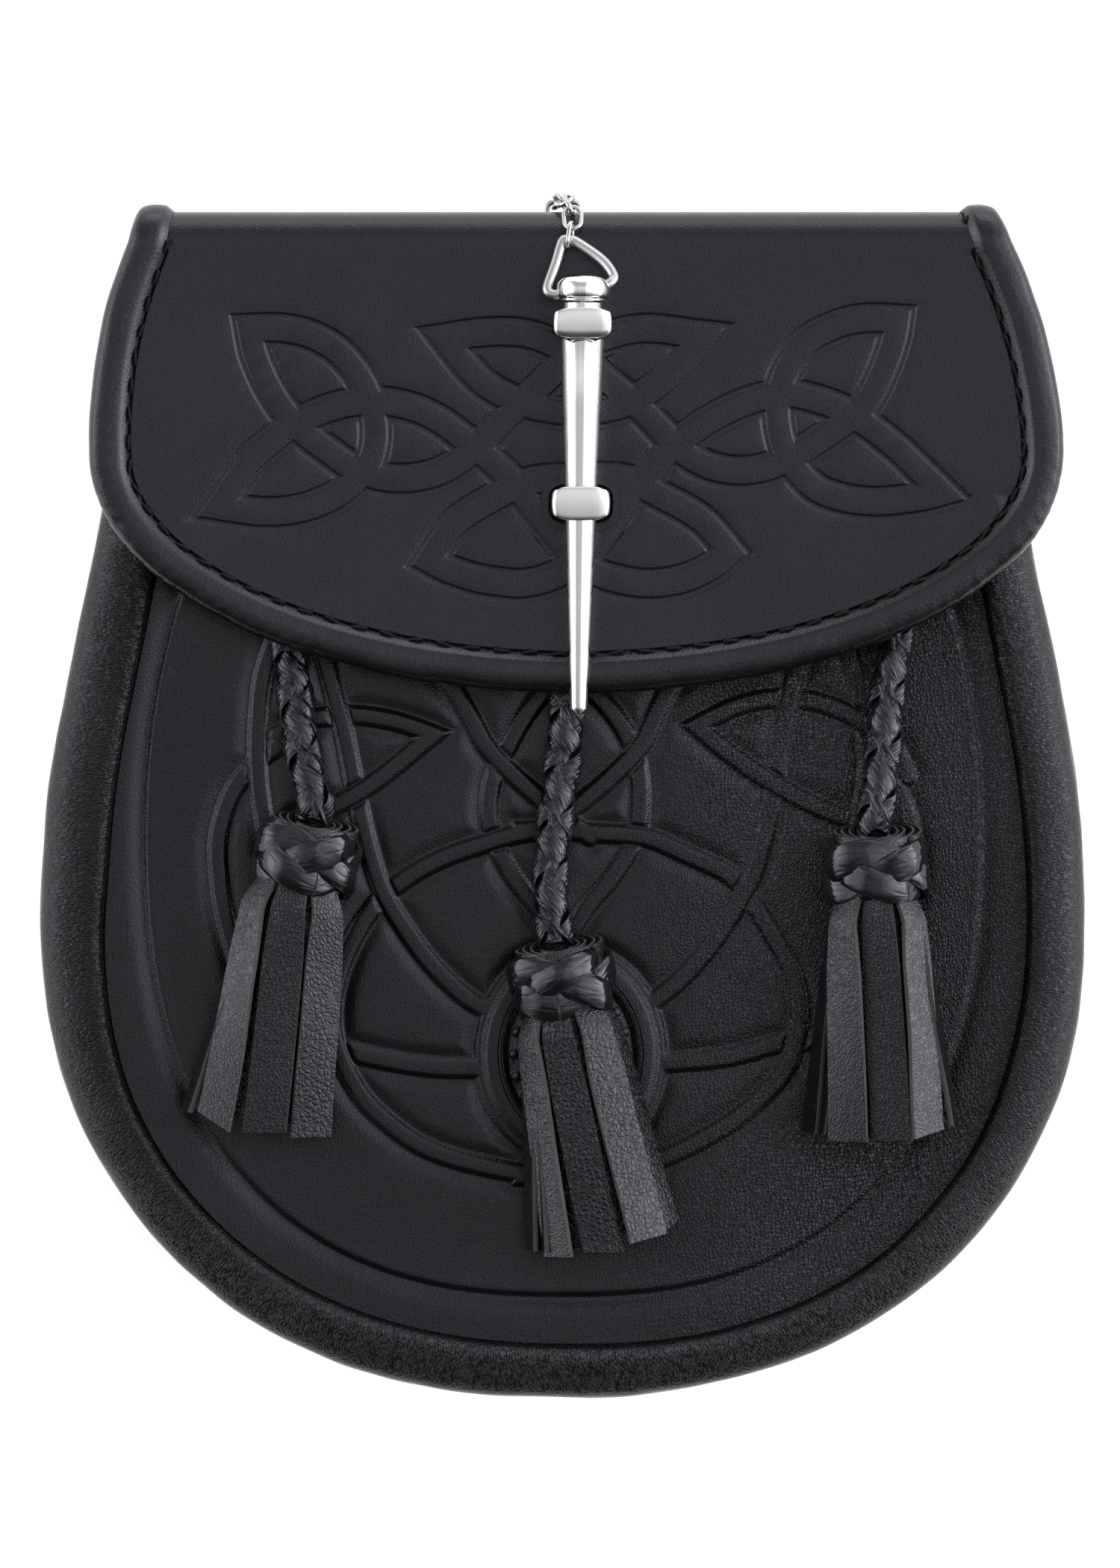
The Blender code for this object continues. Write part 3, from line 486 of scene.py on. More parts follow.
STRAND_REACH = 5 * MM  # how far from a strand its distance still counts
RUN_ON = 8 * MM  # how far a strand runs on past its end before its mitre is cut
NO_CROSSING = 2.5 * MM  # strands that meet nearer to an end than this don't cross
DIVE = 3.8 * MM  # how far round a crossing the lower strand is parted


def distance_to_line(xs, ys, line, reach):
    """How far each grid point is from a line, up to reach."""
    best = np.full((len(ys), len(xs)), reach)
    for a, b in zip(line, line[1:]):
        (x0, x1), (y0, y1) = sorted((a[0], b[0])), sorted((a[1], b[1]))
        i0, i1 = np.searchsorted(xs, (x0 - reach, x1 + reach))
        j0, j1 = np.searchsorted(ys, (y0 - reach, y1 + reach))
        if i0 >= i1 or j0 >= j1:
            continue
        x, y = xs[i0:i1][None] - a[0], ys[j0:j1][:, None] - a[1]
        edge = b - a
        share = np.clip((x * edge[0] + y * edge[1]) / (edge @ edge), 0, 1)
        apart = np.hypot(x - share * edge[0], y - share * edge[1])
        best[j0:j1, i0:i1] = np.minimum(best[j0:j1, i0:i1], apart)
    return best


def crossings_of(lines):
    """Where strands cross: the place, and each one's number with its length up to there."""
    found = []
    runs = [run_along(line) for line in lines]
    for i, a in enumerate(lines):
        for j in range(i + 1, len(lines)):
            b = lines[j]
            ways_a, ways_b = np.diff(a, axis=0)[:, None], np.diff(b, axis=0)[None]
            off = b[:-1][None] - a[:-1][:, None]
            turn = ways_a[..., 0] * ways_b[..., 1] - ways_a[..., 1] * ways_b[..., 0]
            turn = np.where(np.abs(turn) < 1e-14, 1e-14, turn)
            on_a = (off[..., 0] * ways_b[..., 1] - off[..., 1] * ways_b[..., 0]) / turn
            on_b = (off[..., 0] * ways_a[..., 1] - off[..., 1] * ways_a[..., 0]) / turn
            for m, n in np.argwhere((on_a >= 0) & (on_a < 1) & (on_b >= 0) & (on_b < 1)):
                run_a = runs[i][m] + on_a[m, n] * np.linalg.norm(ways_a[m, 0])
                run_b = runs[j][n] + on_b[m, n] * np.linalg.norm(ways_b[0, n])
                if min(run_a, runs[i][-1] - run_a, run_b, runs[j][-1] - run_b) > NO_CROSSING:
                    found.append((a[m] + on_a[m, n] * ways_a[m, 0], {i: run_a, j: run_b}))
    return found


def weave(fields, lines, x, y, gap):
    """Lets each strand pass over and under the others in turn, with a gap where it dives."""
    crossings = crossings_of(lines)
    upper = {}
    for k in range(len(lines)):
        mine = sorted((runs[k], c) for c, (_, runs) in enumerate(crossings) if k in runs)
        goes_over = True
        for _, c in mine:
            if c not in upper:
                upper[c] = k if goes_over else next(other for other in crossings[c][1] if other != k)
            goes_over = upper[c] != k
    for c, (place, runs) in enumerate(crossings):
        under = next(k for k in runs if k != upper[c])
        near = np.hypot(x - place[0], y - place[1]) < DIVE
        fields[under] = np.where(near, np.maximum(fields[under], gap - fields[upper[c]]), fields[under])


def strand_field(xs, ys, strands, half, gap=None):
    """The distance outside the strands' edges. Strands that share an end meet in a mitre."""
    lines = [through(np.array(points) * MM, 0.8 * MM) for points in strands]
    ends = [
        (k, e, line[e], line[e] - line[1 if e == 0 else -2]) for k, line in enumerate(lines) for e in (0, -1)
    ]
    fields = []
    x, y = np.meshgrid(xs, ys)
    for k, line in enumerate(lines):
        cuts = []
        for mine, e, tip, way in [end for end in ends if end[0] == k]:
            for other, f, place, other_way in ends:
                if (other, f) == (mine, e) or np.linalg.norm(place - tip) > 0.2 * MM:
                    continue
                way = way / np.linalg.norm(way)
                other_way = other_way / np.linalg.norm(other_way)
                across = np.array([-other_way[1], other_way[0]])
                if np.dot(across, -way) > 0:
                    across = -across
                cuts.append((tip, across))
                extra = tip + way * np.linspace(0.8 * MM, RUN_ON, 8)[:, None]
                line = np.vstack([extra[::-1], line]) if e == 0 else np.vstack([line, extra])
                break
        mine = distance_to_line(xs, ys, line, STRAND_REACH + half) - half
        for tip, across in cuts:
            near = np.hypot(x - tip[0], y - tip[1]) < RUN_ON + half + 3 * MM
            beyond = (x - tip[0]) * across[0] + (y - tip[1]) * across[1] - half
            mine = np.where(near, np.maximum(mine, beyond), mine)
        fields.append(mine)
    if gap:
        weave(fields, lines, x, y, gap)
    return np.minimum(np.min(fields, axis=0), STRAND_REACH)


def level_lines(field, xs, ys, level):
    """The lines along which a grid's field has one value, as lists of (x, y)."""
    f = field - level
    f[f == 0] = 1e-9
    inside = f > 0
    rows, columns = f.shape
    step_x, step_y = xs[1] - xs[0], ys[1] - ys[0]

    def place(edge):
        upright, k = edge >= rows * columns, edge % (rows * columns)
        j, i = divmod(k, columns)
        if upright:
            return xs[i], ys[j] + step_y * f[j, i] / (f[j, i] - f[j + 1, i])
        return xs[i] + step_x * f[j, i] / (f[j, i] - f[j, i + 1]), ys[j]

    mixed = inside[:-1, :-1].astype(int) + inside[1:, :-1] + inside[:-1, 1:] + inside[1:, 1:]
    links = {}
    for j, i in zip(*np.nonzero((mixed > 0) & (mixed < 4))):
        a, b, c, d = inside[j, i], inside[j, i + 1], inside[j + 1, i + 1], inside[j + 1, i]
        low, right, high, left = (
            j * columns + i,
            rows * columns + j * columns + i + 1,
            (j + 1) * columns + i,
            rows * columns + j * columns + i,
        )
        crossed = [e for e, hit in ((low, a != b), (right, b != c), (high, c != d), (left, d != a)) if hit]
        pairs = [crossed]
        if len(crossed) == 4:
            middle = f[j : j + 2, i : i + 2].mean() > 0
            pairs = [[low, right], [high, left]] if middle != a else [[low, left], [right, high]]
        for p, q in pairs:
            links.setdefault(p, []).append(q)
            links.setdefault(q, []).append(p)
    lines, seen = [], set()
    starts = [e for e in links if len(links[e]) == 1] + list(links)
    for start in starts:
        if start in seen:
            continue
        chain = [start]
        seen.add(start)
        while True:
            following = [e for e in links[chain[-1]] if e not in seen]
            if not following:
                break
            chain.append(following[0])
            seen.add(following[0])
        closed = len(chain) > 2 and chain[0] in links[chain[-1]]
        points = [place(e) for e in chain]
        lines.append(np.array(points + points[:1] if closed else points))
    return lines


def thinned(line, slack, longest):
    """A line with fewer points, never further than slack from the first one."""
    keep = {0, len(line) - 1}
    closed = np.allclose(line[0], line[-1])
    if closed:
        keep.add(int(np.argmax(np.linalg.norm(line - line[0], axis=1))))
    stack = sorted(keep)
    stack = list(zip(stack, stack[1:]))
    while stack:
        a, b = stack.pop()
        if b - a < 2:
            continue
        edge = line[b] - line[a]
        length = np.linalg.norm(edge)
        inner = line[a + 1 : b] - line[a]
        if length < 1e-9:
            off = np.linalg.norm(inner, axis=1)
        else:
            off = np.abs(inner[:, 0] * edge[1] - inner[:, 1] * edge[0]) / length
        worst = int(np.argmax(off))
        if off[worst] <= slack and length <= longest:
            continue
        middle = a + 1 + worst if off[worst] > slack else (a + b) // 2
        keep.add(middle)
        stack += [(a, middle), (middle, b)]
    return line[sorted(keep)], closed


def read_field(values, xs, ys, x, y):
    """A field at points, between its grid points."""
    i = np.clip((x - xs[0]) / (xs[1] - xs[0]), 0, len(xs) - 1.001)
    j = np.clip((y - ys[0]) / (ys[1] - ys[0]), 0, len(ys) - 1.001)
    i0, j0 = i.astype(int), j.astype(int)
    s, t = i - i0, j - j0
    low, high = (values[k, i0] * (1 - s) + values[k, i0 + 1] * s for k in (j0, j0 + 1))
    return low * (1 - t) + high * t


def pressed_surface(outline, height, fields=(), fill=3.0 * MM, holes=()):
    """A surface over an outline, pressed along the level lines of each field.

    Each field is (values, xs, ys, profile), and its profile is (distance, height) pairs.
    Gives the points, the triangles, and the points of the outline and of each hole.
    """
    places, edges, marks = [], [], {}

    def draw(points, closed=True):
        first, count = len(places), len(points)
        places.extend(tuple(p) for p in points)
        edges.extend((first + i, first + (i + 1) % count) for i in range(count if closed else count - 1))
        return range(first, first + count)

    def on_leather(x, y, from_edge=0, from_hole=0):
        keep = inside_outline(np.array(outline), x, y, from_edge)
        for hole in holes:
            keep &= ~inside_outline(np.array(hole), x, y, -from_hole)
        return keep

    loops = [draw(loop) for loop in (outline, *holes)]
    for which, (values, xs, ys, profile) in enumerate(fields):
        for level, rise in profile:
            for line in level_lines(values.copy(), xs, ys, level * MM):
                if len(line) < 6:
                    continue
                line, closed = thinned(line, 0.012 * MM, 1.1 * MM)
                for k in draw(line[:-1] if closed else line, closed):
                    marks[k] = (which, rise * MM)
    # between the lines the surface is filled with points in rows, each row half a step on
    low, high = np.min(outline, 0), np.max(outline, 0)
    gx, gy = np.meshgrid(*[np.arange(low[k] + fill / 2, high[k], fill) for k in (0, 1)])
    gx = gx + (np.arange(gx.shape[0]) % 2)[:, None] * fill / 2
    gx, gy = gx.ravel(), gy.ravel()
    keep = on_leather(gx, gy, fill * 0.45, fill * 0.3)
    for values, xs, ys, profile in fields:
        near = read_field(values, xs, ys, gx, gy)
        in_grid = (gx > xs[0]) & (gx < xs[-1]) & (gy > ys[0]) & (gy < ys[-1])
        clear = (near < (profile[0][0] - 0.5) * MM) | (near > (profile[-1][0] + 0.5) * MM)
        keep &= clear | ~in_grid
    places += list(zip(gx[keep], gy[keep]))
    points, _, triangles, origins, *_ = delaunay_2d_cdt([Vector(p) for p in places], edges, [], 0, 1e-8)
    points, triangles = np.array([tuple(v) for v in points]), np.array(triangles)
    rises = []
    for values, xs, ys, profile in fields:
        depths, heights = np.array(profile).T * MM
        rises.append(np.interp(read_field(values, xs, ys, *points.T), depths, heights))
    where = {}
    for k, source in enumerate(origins):
        for s in source:
            where[s] = k
            if s in marks:
                which, rise = marks[s]
                rises[which][k] = rise
    z = height(*points.T) + sum(rises)
    triangles = triangles[on_leather(*points[triangles].mean(1).T)].tolist()
    return np.column_stack([points, z]), triangles, [[where[k] for k in loop] for loop in loops]


def walled(outer, inner, open_edges=0):
    """A sheet from its two faces, with walls at its rims but for the last edges of the outer one."""
    points, faces, rims = outer
    low, low_faces, low_rims = inner
    start = len(points)
    faces = faces + [[start + k for k in reversed(f)] for f in low_faces]
    for a, b in zip(rims, low_rims):
        count = len(a) - (open_edges if a is rims[0] else 0)
        for i in range(count):
            j = (i + 1) % len(a)
            faces.append([a[i], a[j], start + b[j], start + b[i]])
    return np.vstack([points, low]), faces


def inside_outline(edge, x, y, margin):
    """Whether points lie inside a closed outline, by at least this margin."""
    crossings = np.zeros(len(x), int)
    nearest = np.full(len(x), 1e9)
    for a, b in zip(edge, np.roll(edge, -1, 0)):
        between = (a[1] > y) != (b[1] > y)
        if abs(b[1] - a[1]) > 1e-12:
            at = a[0] + (y - a[1]) / (b[1] - a[1]) * (b[0] - a[0])
            crossings += between & (x < at)
        if margin:
            way = b - a
            share = np.clip(((x - a[0]) * way[0] + (y - a[1]) * way[1]) / max(way @ way, 1e-18), 0, 1)
            nearest = np.minimum(
                nearest, np.hypot(x - a[0] - share * way[0], y - a[1] - share * way[1])
            )
    inside = crossings % 2 == 1
    if margin > 0:
        return inside & (nearest > margin)
    if margin < 0:
        return inside | (nearest < -margin)
    return inside


# ---- finishes --------------------------------------------------------------------------


def from_hex(code):
    """An sRGB hex colour as linear RGBA."""
    parts = [int(code[k : k + 2], 16) / 255 for k in (1, 3, 5)]
    return (*[p / 12.92 if p <= 0.04045 else ((p + 0.055) / 1.055) ** 2.4 for p in parts], 1.0)


def feed(tree, node, inputs):
    """Gives a node's inputs a value each, or a socket or a node's first output to read."""
    for key, value in inputs.items():
        if isinstance(value, bpy.types.Node):
            value = value.outputs[0]
        if isinstance(value, bpy.types.NodeSocket):
            tree.links.new(value, node.inputs[key])
        else:
            node.inputs[key].default_value = value


def add(tree, kind, inputs={}, **settings):
    """Adds a node with its settings and what its inputs read."""
    node = tree.nodes.new(kind)
    for key, value in settings.items():
        setattr(node, key, value)
    feed(tree, node, inputs)
    return node


def new_finish(name, shader_values):
    material = bpy.data.materials.new(name)
    material.use_nodes = True
    shader = material.node_tree.nodes["Principled BSDF"]
    feed(material.node_tree, shader, shader_values)
    return material, material.node_tree, shader


def black_leather(
    name, dark, light, rough, pebble, pebble_depth, fine, fine_depth,
    stretch=(1.0, 1.0), on_surface=False, coarser=None, specular=0.33,
):
    """Leather dyed black: pebbles with creases between them, fine pores, and uneven dye.

    Real pores are too fine to show in the render, so they are drawn as coarse as they need
    to be to show.
    Sizes are in mm. On a rolled piece the pattern follows the surface and is stretched
    along it, where the leather was pulled over its edge. coarser: how deep the pebbles are
    at the left, as a share, and between which places across they grow to their full depth.
    """
    material, tree, shader = new_finish(
        name,
        {"Metallic": 0.0, "IOR": 1.5, "Specular IOR Level": specular, "Specular Tint": from_hex("#f5f2ff")},
    )
    if on_surface:
        place = add(tree, "ShaderNodeUVMap", uv_map="surface").outputs["UV"]
    else:
        place = add(tree, "ShaderNodeTexCoord").outputs["Object"]
    bend = add(tree, "ShaderNodeTexNoise", {"Vector": place, "Scale": 1 / (3.0 * pebble * MM)})
    centred = add(
        tree, "ShaderNodeVectorMath", {0: bend.outputs["Color"], 1: (0.5, 0.5, 0.5)}, operation="SUBTRACT"
    )
    small = add(tree, "ShaderNodeVectorMath", {0: centred, "Scale": 0.9 * pebble * MM}, operation="SCALE")
    bent = add(tree, "ShaderNodeVectorMath", {0: place, 1: small}, operation="ADD")
    pulled = add(tree, "ShaderNodeMapping", {"Vector": bent, "Scale": (*stretch, 1.0)})
    cells = add(
        tree, "ShaderNodeTexVoronoi", {"Vector": pulled, "Scale": 1 / (pebble * MM)},
        feature="DISTANCE_TO_EDGE",
    )
    pebbles = add(
        tree, "ShaderNodeMapRange", {"Value": cells, "From Max": 0.28}, interpolation_type="SMOOTHSTEP"
    )
    pores = add(
        tree, "ShaderNodeTexNoise",
        {"Vector": pulled, "Scale": 1 / (fine * MM), "Detail": 3.0, "Roughness": 0.6},
    )
    first = add(tree, "ShaderNodeBump", {"Distance": fine_depth * MM, "Height": pores})
    second = add(tree, "ShaderNodeBump", {"Distance": pebble_depth * MM, "Height": pebbles, "Normal": first})
    if coarser:
        share, start, full = coarser
        across = add(tree, "ShaderNodeSeparateXYZ", {0: place})
        deep = add(
            tree, "ShaderNodeMapRange",
            {"Value": across, "From Min": start * MM, "From Max": full * MM, "To Min": share},
            interpolation_type="SMOOTHSTEP",
        )
        feed(tree, second, {"Strength": deep})
    dye = add(
        tree, "ShaderNodeTexNoise", {"Vector": place, "Scale": 1 / (22 * MM), "Detail": 5.0, "Roughness": 0.6}
    )
    ramp = add(tree, "ShaderNodeValToRGB", {"Fac": dye})
    for stop, position, colour in zip(ramp.color_ramp.elements, (0.3, 0.72), (dark, light)):
        stop.position = position
        stop.color = from_hex(colour)
    wear = add(tree, "ShaderNodeMath", {0: pores, 1: 0.55}, operation="MULTIPLY_ADD")
    feed(tree, wear, {2: add(tree, "ShaderNodeMath", {0: dye, 1: 0.3}, operation="MULTIPLY")})
    roughness = add(
        tree, "ShaderNodeMapRange",
        {"Value": wear, "From Min": 0.25, "From Max": 0.6, "To Min": rough[0], "To Max": rough[1]},
    )
    feed(tree, shader, {"Normal": second, "Base Color": ramp, "Roughness": roughness})
    return material


def polished_chrome(name, rough, scratch, colour="#e2e2e3"):
    """Chrome plate over brass, buffed: it mirrors the room, with faint buffing lines.

    Real lines are too fine to show in the render, so they are drawn coarser.
    """
    material, tree, shader = new_finish(name, {"Metallic": 1.0, "Base Color": from_hex(colour)})
    place = add(tree, "ShaderNodeTexCoord").outputs["Object"]
    lines = add(
        tree, "ShaderNodeMapping",
        {"Vector": place, "Scale": (1 / (0.12 * MM), 1 / (2.5 * MM), 1 / (0.12 * MM))},
    )
    buffing = add(tree, "ShaderNodeTexNoise", {"Vector": lines, "Scale": 1.0})
    bump = add(tree, "ShaderNodeBump", {"Distance": scratch * MM, "Height": buffing})
    cloud = add(tree, "ShaderNodeTexNoise", {"Vector": place, "Scale": 1 / (4 * MM), "Detail": 3.0})
    roughness = add(
        tree, "ShaderNodeMapRange",
        {"Value": cloud, "From Min": 0.3, "From Max": 0.7, "To Min": rough[0], "To Max": rough[1]},
    )
    feed(tree, shader, {"Normal": bump, "Roughness": roughness})
    return material


def waxed_thread(name):
    """Black waxed polyester thread, with its fibres drawn coarse enough to show."""
    material, tree, shader = new_finish(name, {"Metallic": 0.0, "IOR": 1.5, "Specular IOR Level": 0.2})
    place = add(tree, "ShaderNodeTexCoord").outputs["Object"]
    fibres = add(
        tree, "ShaderNodeTexNoise",
        {"Vector": place, "Scale": 1 / (0.25 * MM), "Detail": 4.0, "Roughness": 0.7},
    )
    bump = add(tree, "ShaderNodeBump", {"Distance": 0.12 * MM, "Height": fibres})
    ramp = add(tree, "ShaderNodeValToRGB", {"Fac": fibres})
    for stop, colour in zip(ramp.color_ramp.elements, ("#050506", "#151517")):
        stop.color = from_hex(colour)
    roughness = add(tree, "ShaderNodeMapRange", {"Value": fibres, "To Min": 0.45, "To Max": 0.75})
    feed(tree, shader, {"Normal": bump, "Base Color": ramp, "Roughness": roughness})
    return material


# The flap and back: smooth full-grain cowhide with a matt finish and fine pores.
flap_leather = black_leather(
    "smooth_matt_cowhide", "#0e0e11", "#141417", (0.22, 0.32), pebble=0.7, pebble_depth=0.018,
    fine=0.28, fine_depth=0.034, specular=0.4,
)
# The binding: thin smooth leather, pulled round the edge and rubbed, so it has a soft sheen.
binding_leather = black_leather(
    "rubbed_binding_leather", "#0d0d0f", "#121214", (0.22, 0.32), pebble=0.9, pebble_depth=0.02,
    fine=0.3, fine_depth=0.024, on_surface=True, specular=0.45,
)
# The front: pebble-grained hide, moulded wet over a form, so the pebbles are nearly flat.
front_leather = black_leather(
    "moulded_pebble_grain_hide", "#0a0a0c", "#101013", (0.22, 0.32), pebble=0.66, pebble_depth=0.085,
    fine=0.26, fine_depth=0.02, coarser=(0.3, 5, 45), specular=0.35,
)
# The side wall: the same hide, stretched over the roll, with its grain pulled across it.
gusset_leather = black_leather(
    "stretched_grain_hide", "#09090a", "#0e0e10", (0.24, 0.34), pebble=0.85, pebble_depth=0.09,
    fine=0.3, fine_depth=0.012, stretch=(1.9, 0.75), on_surface=True, specular=0.3,
)
# The tassels' strips: hide split from a smooth side, with cut edges that were dyed after.
strip_leather = black_leather(
    "cut_strip_leather", "#070708", "#0d0d0f", (0.2, 0.28), pebble=0.65, pebble_depth=0.05,
    fine=0.22, fine_depth=0.012, on_surface=True, specular=0.48,
)
grained_strip_leather = black_leather(
    "grained_strip_leather", "#070708", "#0d0d0f", (0.2, 0.28), pebble=0.9, pebble_depth=0.072,
    fine=0.35, fine_depth=0.01, on_surface=True, specular=0.48,
)
cut_edge_leather = black_leather(
    "dyed_cut_edge", "#2c2b2b", "#4a4845", (0.6, 0.8), pebble=0.4, pebble_depth=0.03,
    fine=0.2, fine_depth=0.05,
)
# The thongs and the knots: thin lace leather, pulled tight and waxed, creased along its length.
lace_leather = black_leather(
    "waxed_lace_leather", "#08080a", "#141418", (0.12, 0.24), pebble=0.8, pebble_depth=0.08,
    fine=0.2, fine_depth=0.016, stretch=(0.2, 1.0), on_surface=True, specular=0.5,
)
knot_leather = black_leather(
    "wide_lace_leather", "#0a0a0c", "#141417", (0.12, 0.2), pebble=1.4, pebble_depth=0.045,
    fine=0.4, fine_depth=0.016, stretch=(0.35, 1.0), on_surface=True, specular=0.5,
)
# The fittings: chrome plate over brass, the pin polished, the staples only buffed, and the bent
# wires drawn, which leaves a greyer satin. The links' chrome is darker than the pin's, as painted
# shade for the shade and dark reflections that the chain shows.
chrome = polished_chrome("polished_chrome_plate", (0.02, 0.06), 0.0008)
bar_chrome = polished_chrome("buffed_chrome_plate", (0.12, 0.24), 0.003)
# painted shade: the links' chrome colour is darkened to stand in for the chain's shade and dark reflections
shade_darkened_link_chrome = polished_chrome("link_chrome_darkened_for_shade", (0.06, 0.14), 0.002, "#b4b4b6")
satin_wire = polished_chrome("satin_plated_wire", (0.26, 0.38), 0.006, "#b2b2b4")
stitch_thread = waxed_thread("waxed_black_thread")


# ---- camera, light and floor -----------------------------------------------------------

FRAME_HEIGHT = 284.97 * MM  # what the picture covers at the height of the front
FRAME_CENTRE = Vector((-0.61, 2.24, 30.0)) * MM
CAMERA_AWAY = 6.0  # a long lens, straight above
FLOOR_REACH = 3.0  # from the light table's middle to its edges
BRIGHTEST = 7.0  # what the ramps of brightness are a share of
# How bright the cloth is: from the left edge of the room (-1) over the top to the right (1),
# and by how much it is brighter from the photographer's side (-1) to the far side (1).
ACROSS = (
    (-1.0, 3.7), (-0.94, 3.2), (-0.84, 2.6), (-0.66, 1.6), (-0.57, 0.76), (-0.42, 0.74), (-0.385, 0.4),
    (-0.35, 0.74), (0.11, 0.74), (0.13, 0.5), (0.148, 0.85), (0.19, 1.25), (0.28, 1.55), (0.42, 1.75),
    (0.6, 2.3), (0.82, 3.6), (0.95, 5.0), (1.0, 6.8),
)
ALONG = (
    (-1.0, 0.05), (-0.55, 0.14), (-0.32, 0.42), (-0.2, 0.8), (-0.1, 0.88), (0.02, 1.0), (0.08, 1.18),
    (0.2, 1.38), (0.34, 1.2), (0.5, 0.82), (0.82, 0.8), (0.94, 1.6), (1.0, 5.4),
)


def make_camera():
    data = bpy.data.cameras.new("camera")
    data.sensor_fit = "VERTICAL"
    data.sensor_height = 24.0
    data.lens = data.sensor_height * CAMERA_AWAY / FRAME_HEIGHT
    data.clip_start, data.clip_end = 0.1, 20.0
    camera = bpy.data.objects.new("camera", data)
    camera.location = FRAME_CENTRE + Vector((0, 0, CAMERA_AWAY))
    bpy.context.scene.collection.objects.link(camera)
    bpy.context.scene.camera = camera


def make_studio():
    # an opal acrylic light table, lit a little from below so that no shadow shows on it
    floor_finish, tree, shader = new_finish(
        "opal_light_table",
        {
            "Roughness": 0.9, "Specular IOR Level": 0.1,
            "Emission Color": from_hex("#ffffff"), "Emission Strength": 0.6,
        },
    )
    place = add(tree, "ShaderNodeTexCoord").outputs["Object"]
    cloud = add(tree, "ShaderNodeTexNoise", {"Vector": place, "Scale": 3.0, "Detail": 3.0})
    ramp = add(tree, "ShaderNodeValToRGB", {"Fac": cloud})
    for stop, colour in zip(ramp.color_ramp.elements, ("#f1f1f1", "#f7f7f7")):
        stop.color = from_hex(colour)
    feed(tree, shader, {"Base Color": ramp})
    corners = [(-FLOOR_REACH, -FLOOR_REACH, 0), (FLOOR_REACH, -FLOOR_REACH, 0)]
    corners += [(-x, -y, 0) for x, y, _ in corners]
    mesh = bpy.data.meshes.new("floor")
    mesh.from_pydata(corners, [], [(0, 1, 2, 3)])
    mesh.materials.append(floor_finish)
    floor = bpy.data.objects.new("floor", mesh)
    floor.location.z = -0.2 * MM
    bpy.context.scene.collection.objects.link(floor)
    # white cloth all round: dim overhead, bright low down at both sides, most at the right,
    # and darkest towards the photographer's side
    world = bpy.data.worlds.new("studio")
    bpy.context.scene.world = world
    world.use_nodes = True
    tree = world.node_tree
    way = add(tree, "ShaderNodeTexCoord").outputs["Generated"]
    parts = add(tree, "ShaderNodeSeparateXYZ", {0: way})
    brightness = []
    for part, stops in (("X", ACROSS), ("Y", ALONG)):
        share = add(tree, "ShaderNodeMapRange", {"Value": parts.outputs[part], "From Min": -1.0})
        ramp = add(tree, "ShaderNodeValToRGB", {"Fac": share})
        for place, _ in stops[1:-1]:
            ramp.color_ramp.elements.new((place + 1) / 2)
        for stop, (_, grey) in zip(ramp.color_ramp.elements, stops):
            stop.color = (*[grey / BRIGHTEST] * 3, 1)
        brightness.append(ramp)
    both = add(tree, "ShaderNodeMath", {0: brightness[0], 1: brightness[1]}, operation="MULTIPLY")
    total = add(tree, "ShaderNodeMath", {0: both, 1: BRIGHTEST**2}, operation="MULTIPLY")
    feed(tree, tree.nodes["Background"], {"Color": (0.95, 0.94, 0.95, 1), "Strength": total})
    bpy.context.scene.view_settings.view_transform = "Standard"


make_camera()
make_studio()


# ---- the plaited cords -----------------------------------------------------------------


def tassel_frame(tassel):
    """The knot's centre, and the directions down, across and up from the tassel."""
    x, y = (value * MM for value in tassel["knot"])
    lean = math.radians(tassel["lean"])
    centre = Vector((x, y, float(front_height(x, y)) + KNOT_DEEP + GAP))
    tip_x = x + math.sin(lean) * 45 * MM
    tip_y = y - math.cos(lean) * 45 * MM
    tip = Vector((tip_x, tip_y, float(front_height(tip_x, tip_y)) + TIP_DEEP + GAP))
    down = (tip - centre).normalized()
    across = Vector((0, 0, 1)).cross(down).normalized()
    return centre, down, across, down.cross(across)


def cord_line(tassel):
    """The cord's route, from the front panel under the flap up into the knot."""
    centre, down, _, _ = tassel_frame(tassel)
    head_top = centre - down * (KNOT_LENGTH / 2 + 0.4 * MM + GAP)
    points = []
    lying = tassel["cord"]
    for i, (x, y) in enumerate(lying):
        surface = float(front_height(x * MM, y * MM)) + CORD_THICK / 2 + GAP
        share = eased(max(0.0, (i - 2) / (len(lying) - 2)))
        points.append(Vector((x * MM, y * MM, surface + (head_top.z - surface) * share)))
    line = through([*points, head_top - down * 2.4 * MM], count=20)
    return np.vstack([line, np.array(head_top)[None]])


PLAIT_TURN = 20.5 * MM  # one turn of a strand round the plait
PLAIT_MEAN = 1.9 * MM  # from the plait's middle to its strands
PLAIT_SWING = 0.5 * MM  # how far a strand goes over and under
PLAIT_OVAL = (1.26, 0.84)  # the plait lies on the front, so it is wider than thick
PLAIT_FACING = (0.8, 1.2)  # and its laces face out from an oval the other way
LACE_WIDE = 4.9 * MM
LACE_THICK = 1.1 * MM


def lace_rings(line, reach, way, out, wide, section, thick, curl, wrinkles, seed):
    """A flat lace on a line: bowed over what it crosses, with curled edges and wrinkles.

    wrinkles: how much longer than wide they are, as two scales, their size and their depth.
    """
    out = upright(way, out)
    a, b = section.T[:, None]
    flat = a * wide[:, None]
    longer, narrower, size, deep = wrinkles
    where = side_by_side(reach[:, None] / longer, flat * narrower)
    wrinkle = waves(where, size, seed).reshape(flat.shape)
    lift = b * thick - curl * (2 * a) ** 2 + wrinkle * deep * (b > 0)
    return rings_on(line, np.cross(way, out), out, flat, lift)


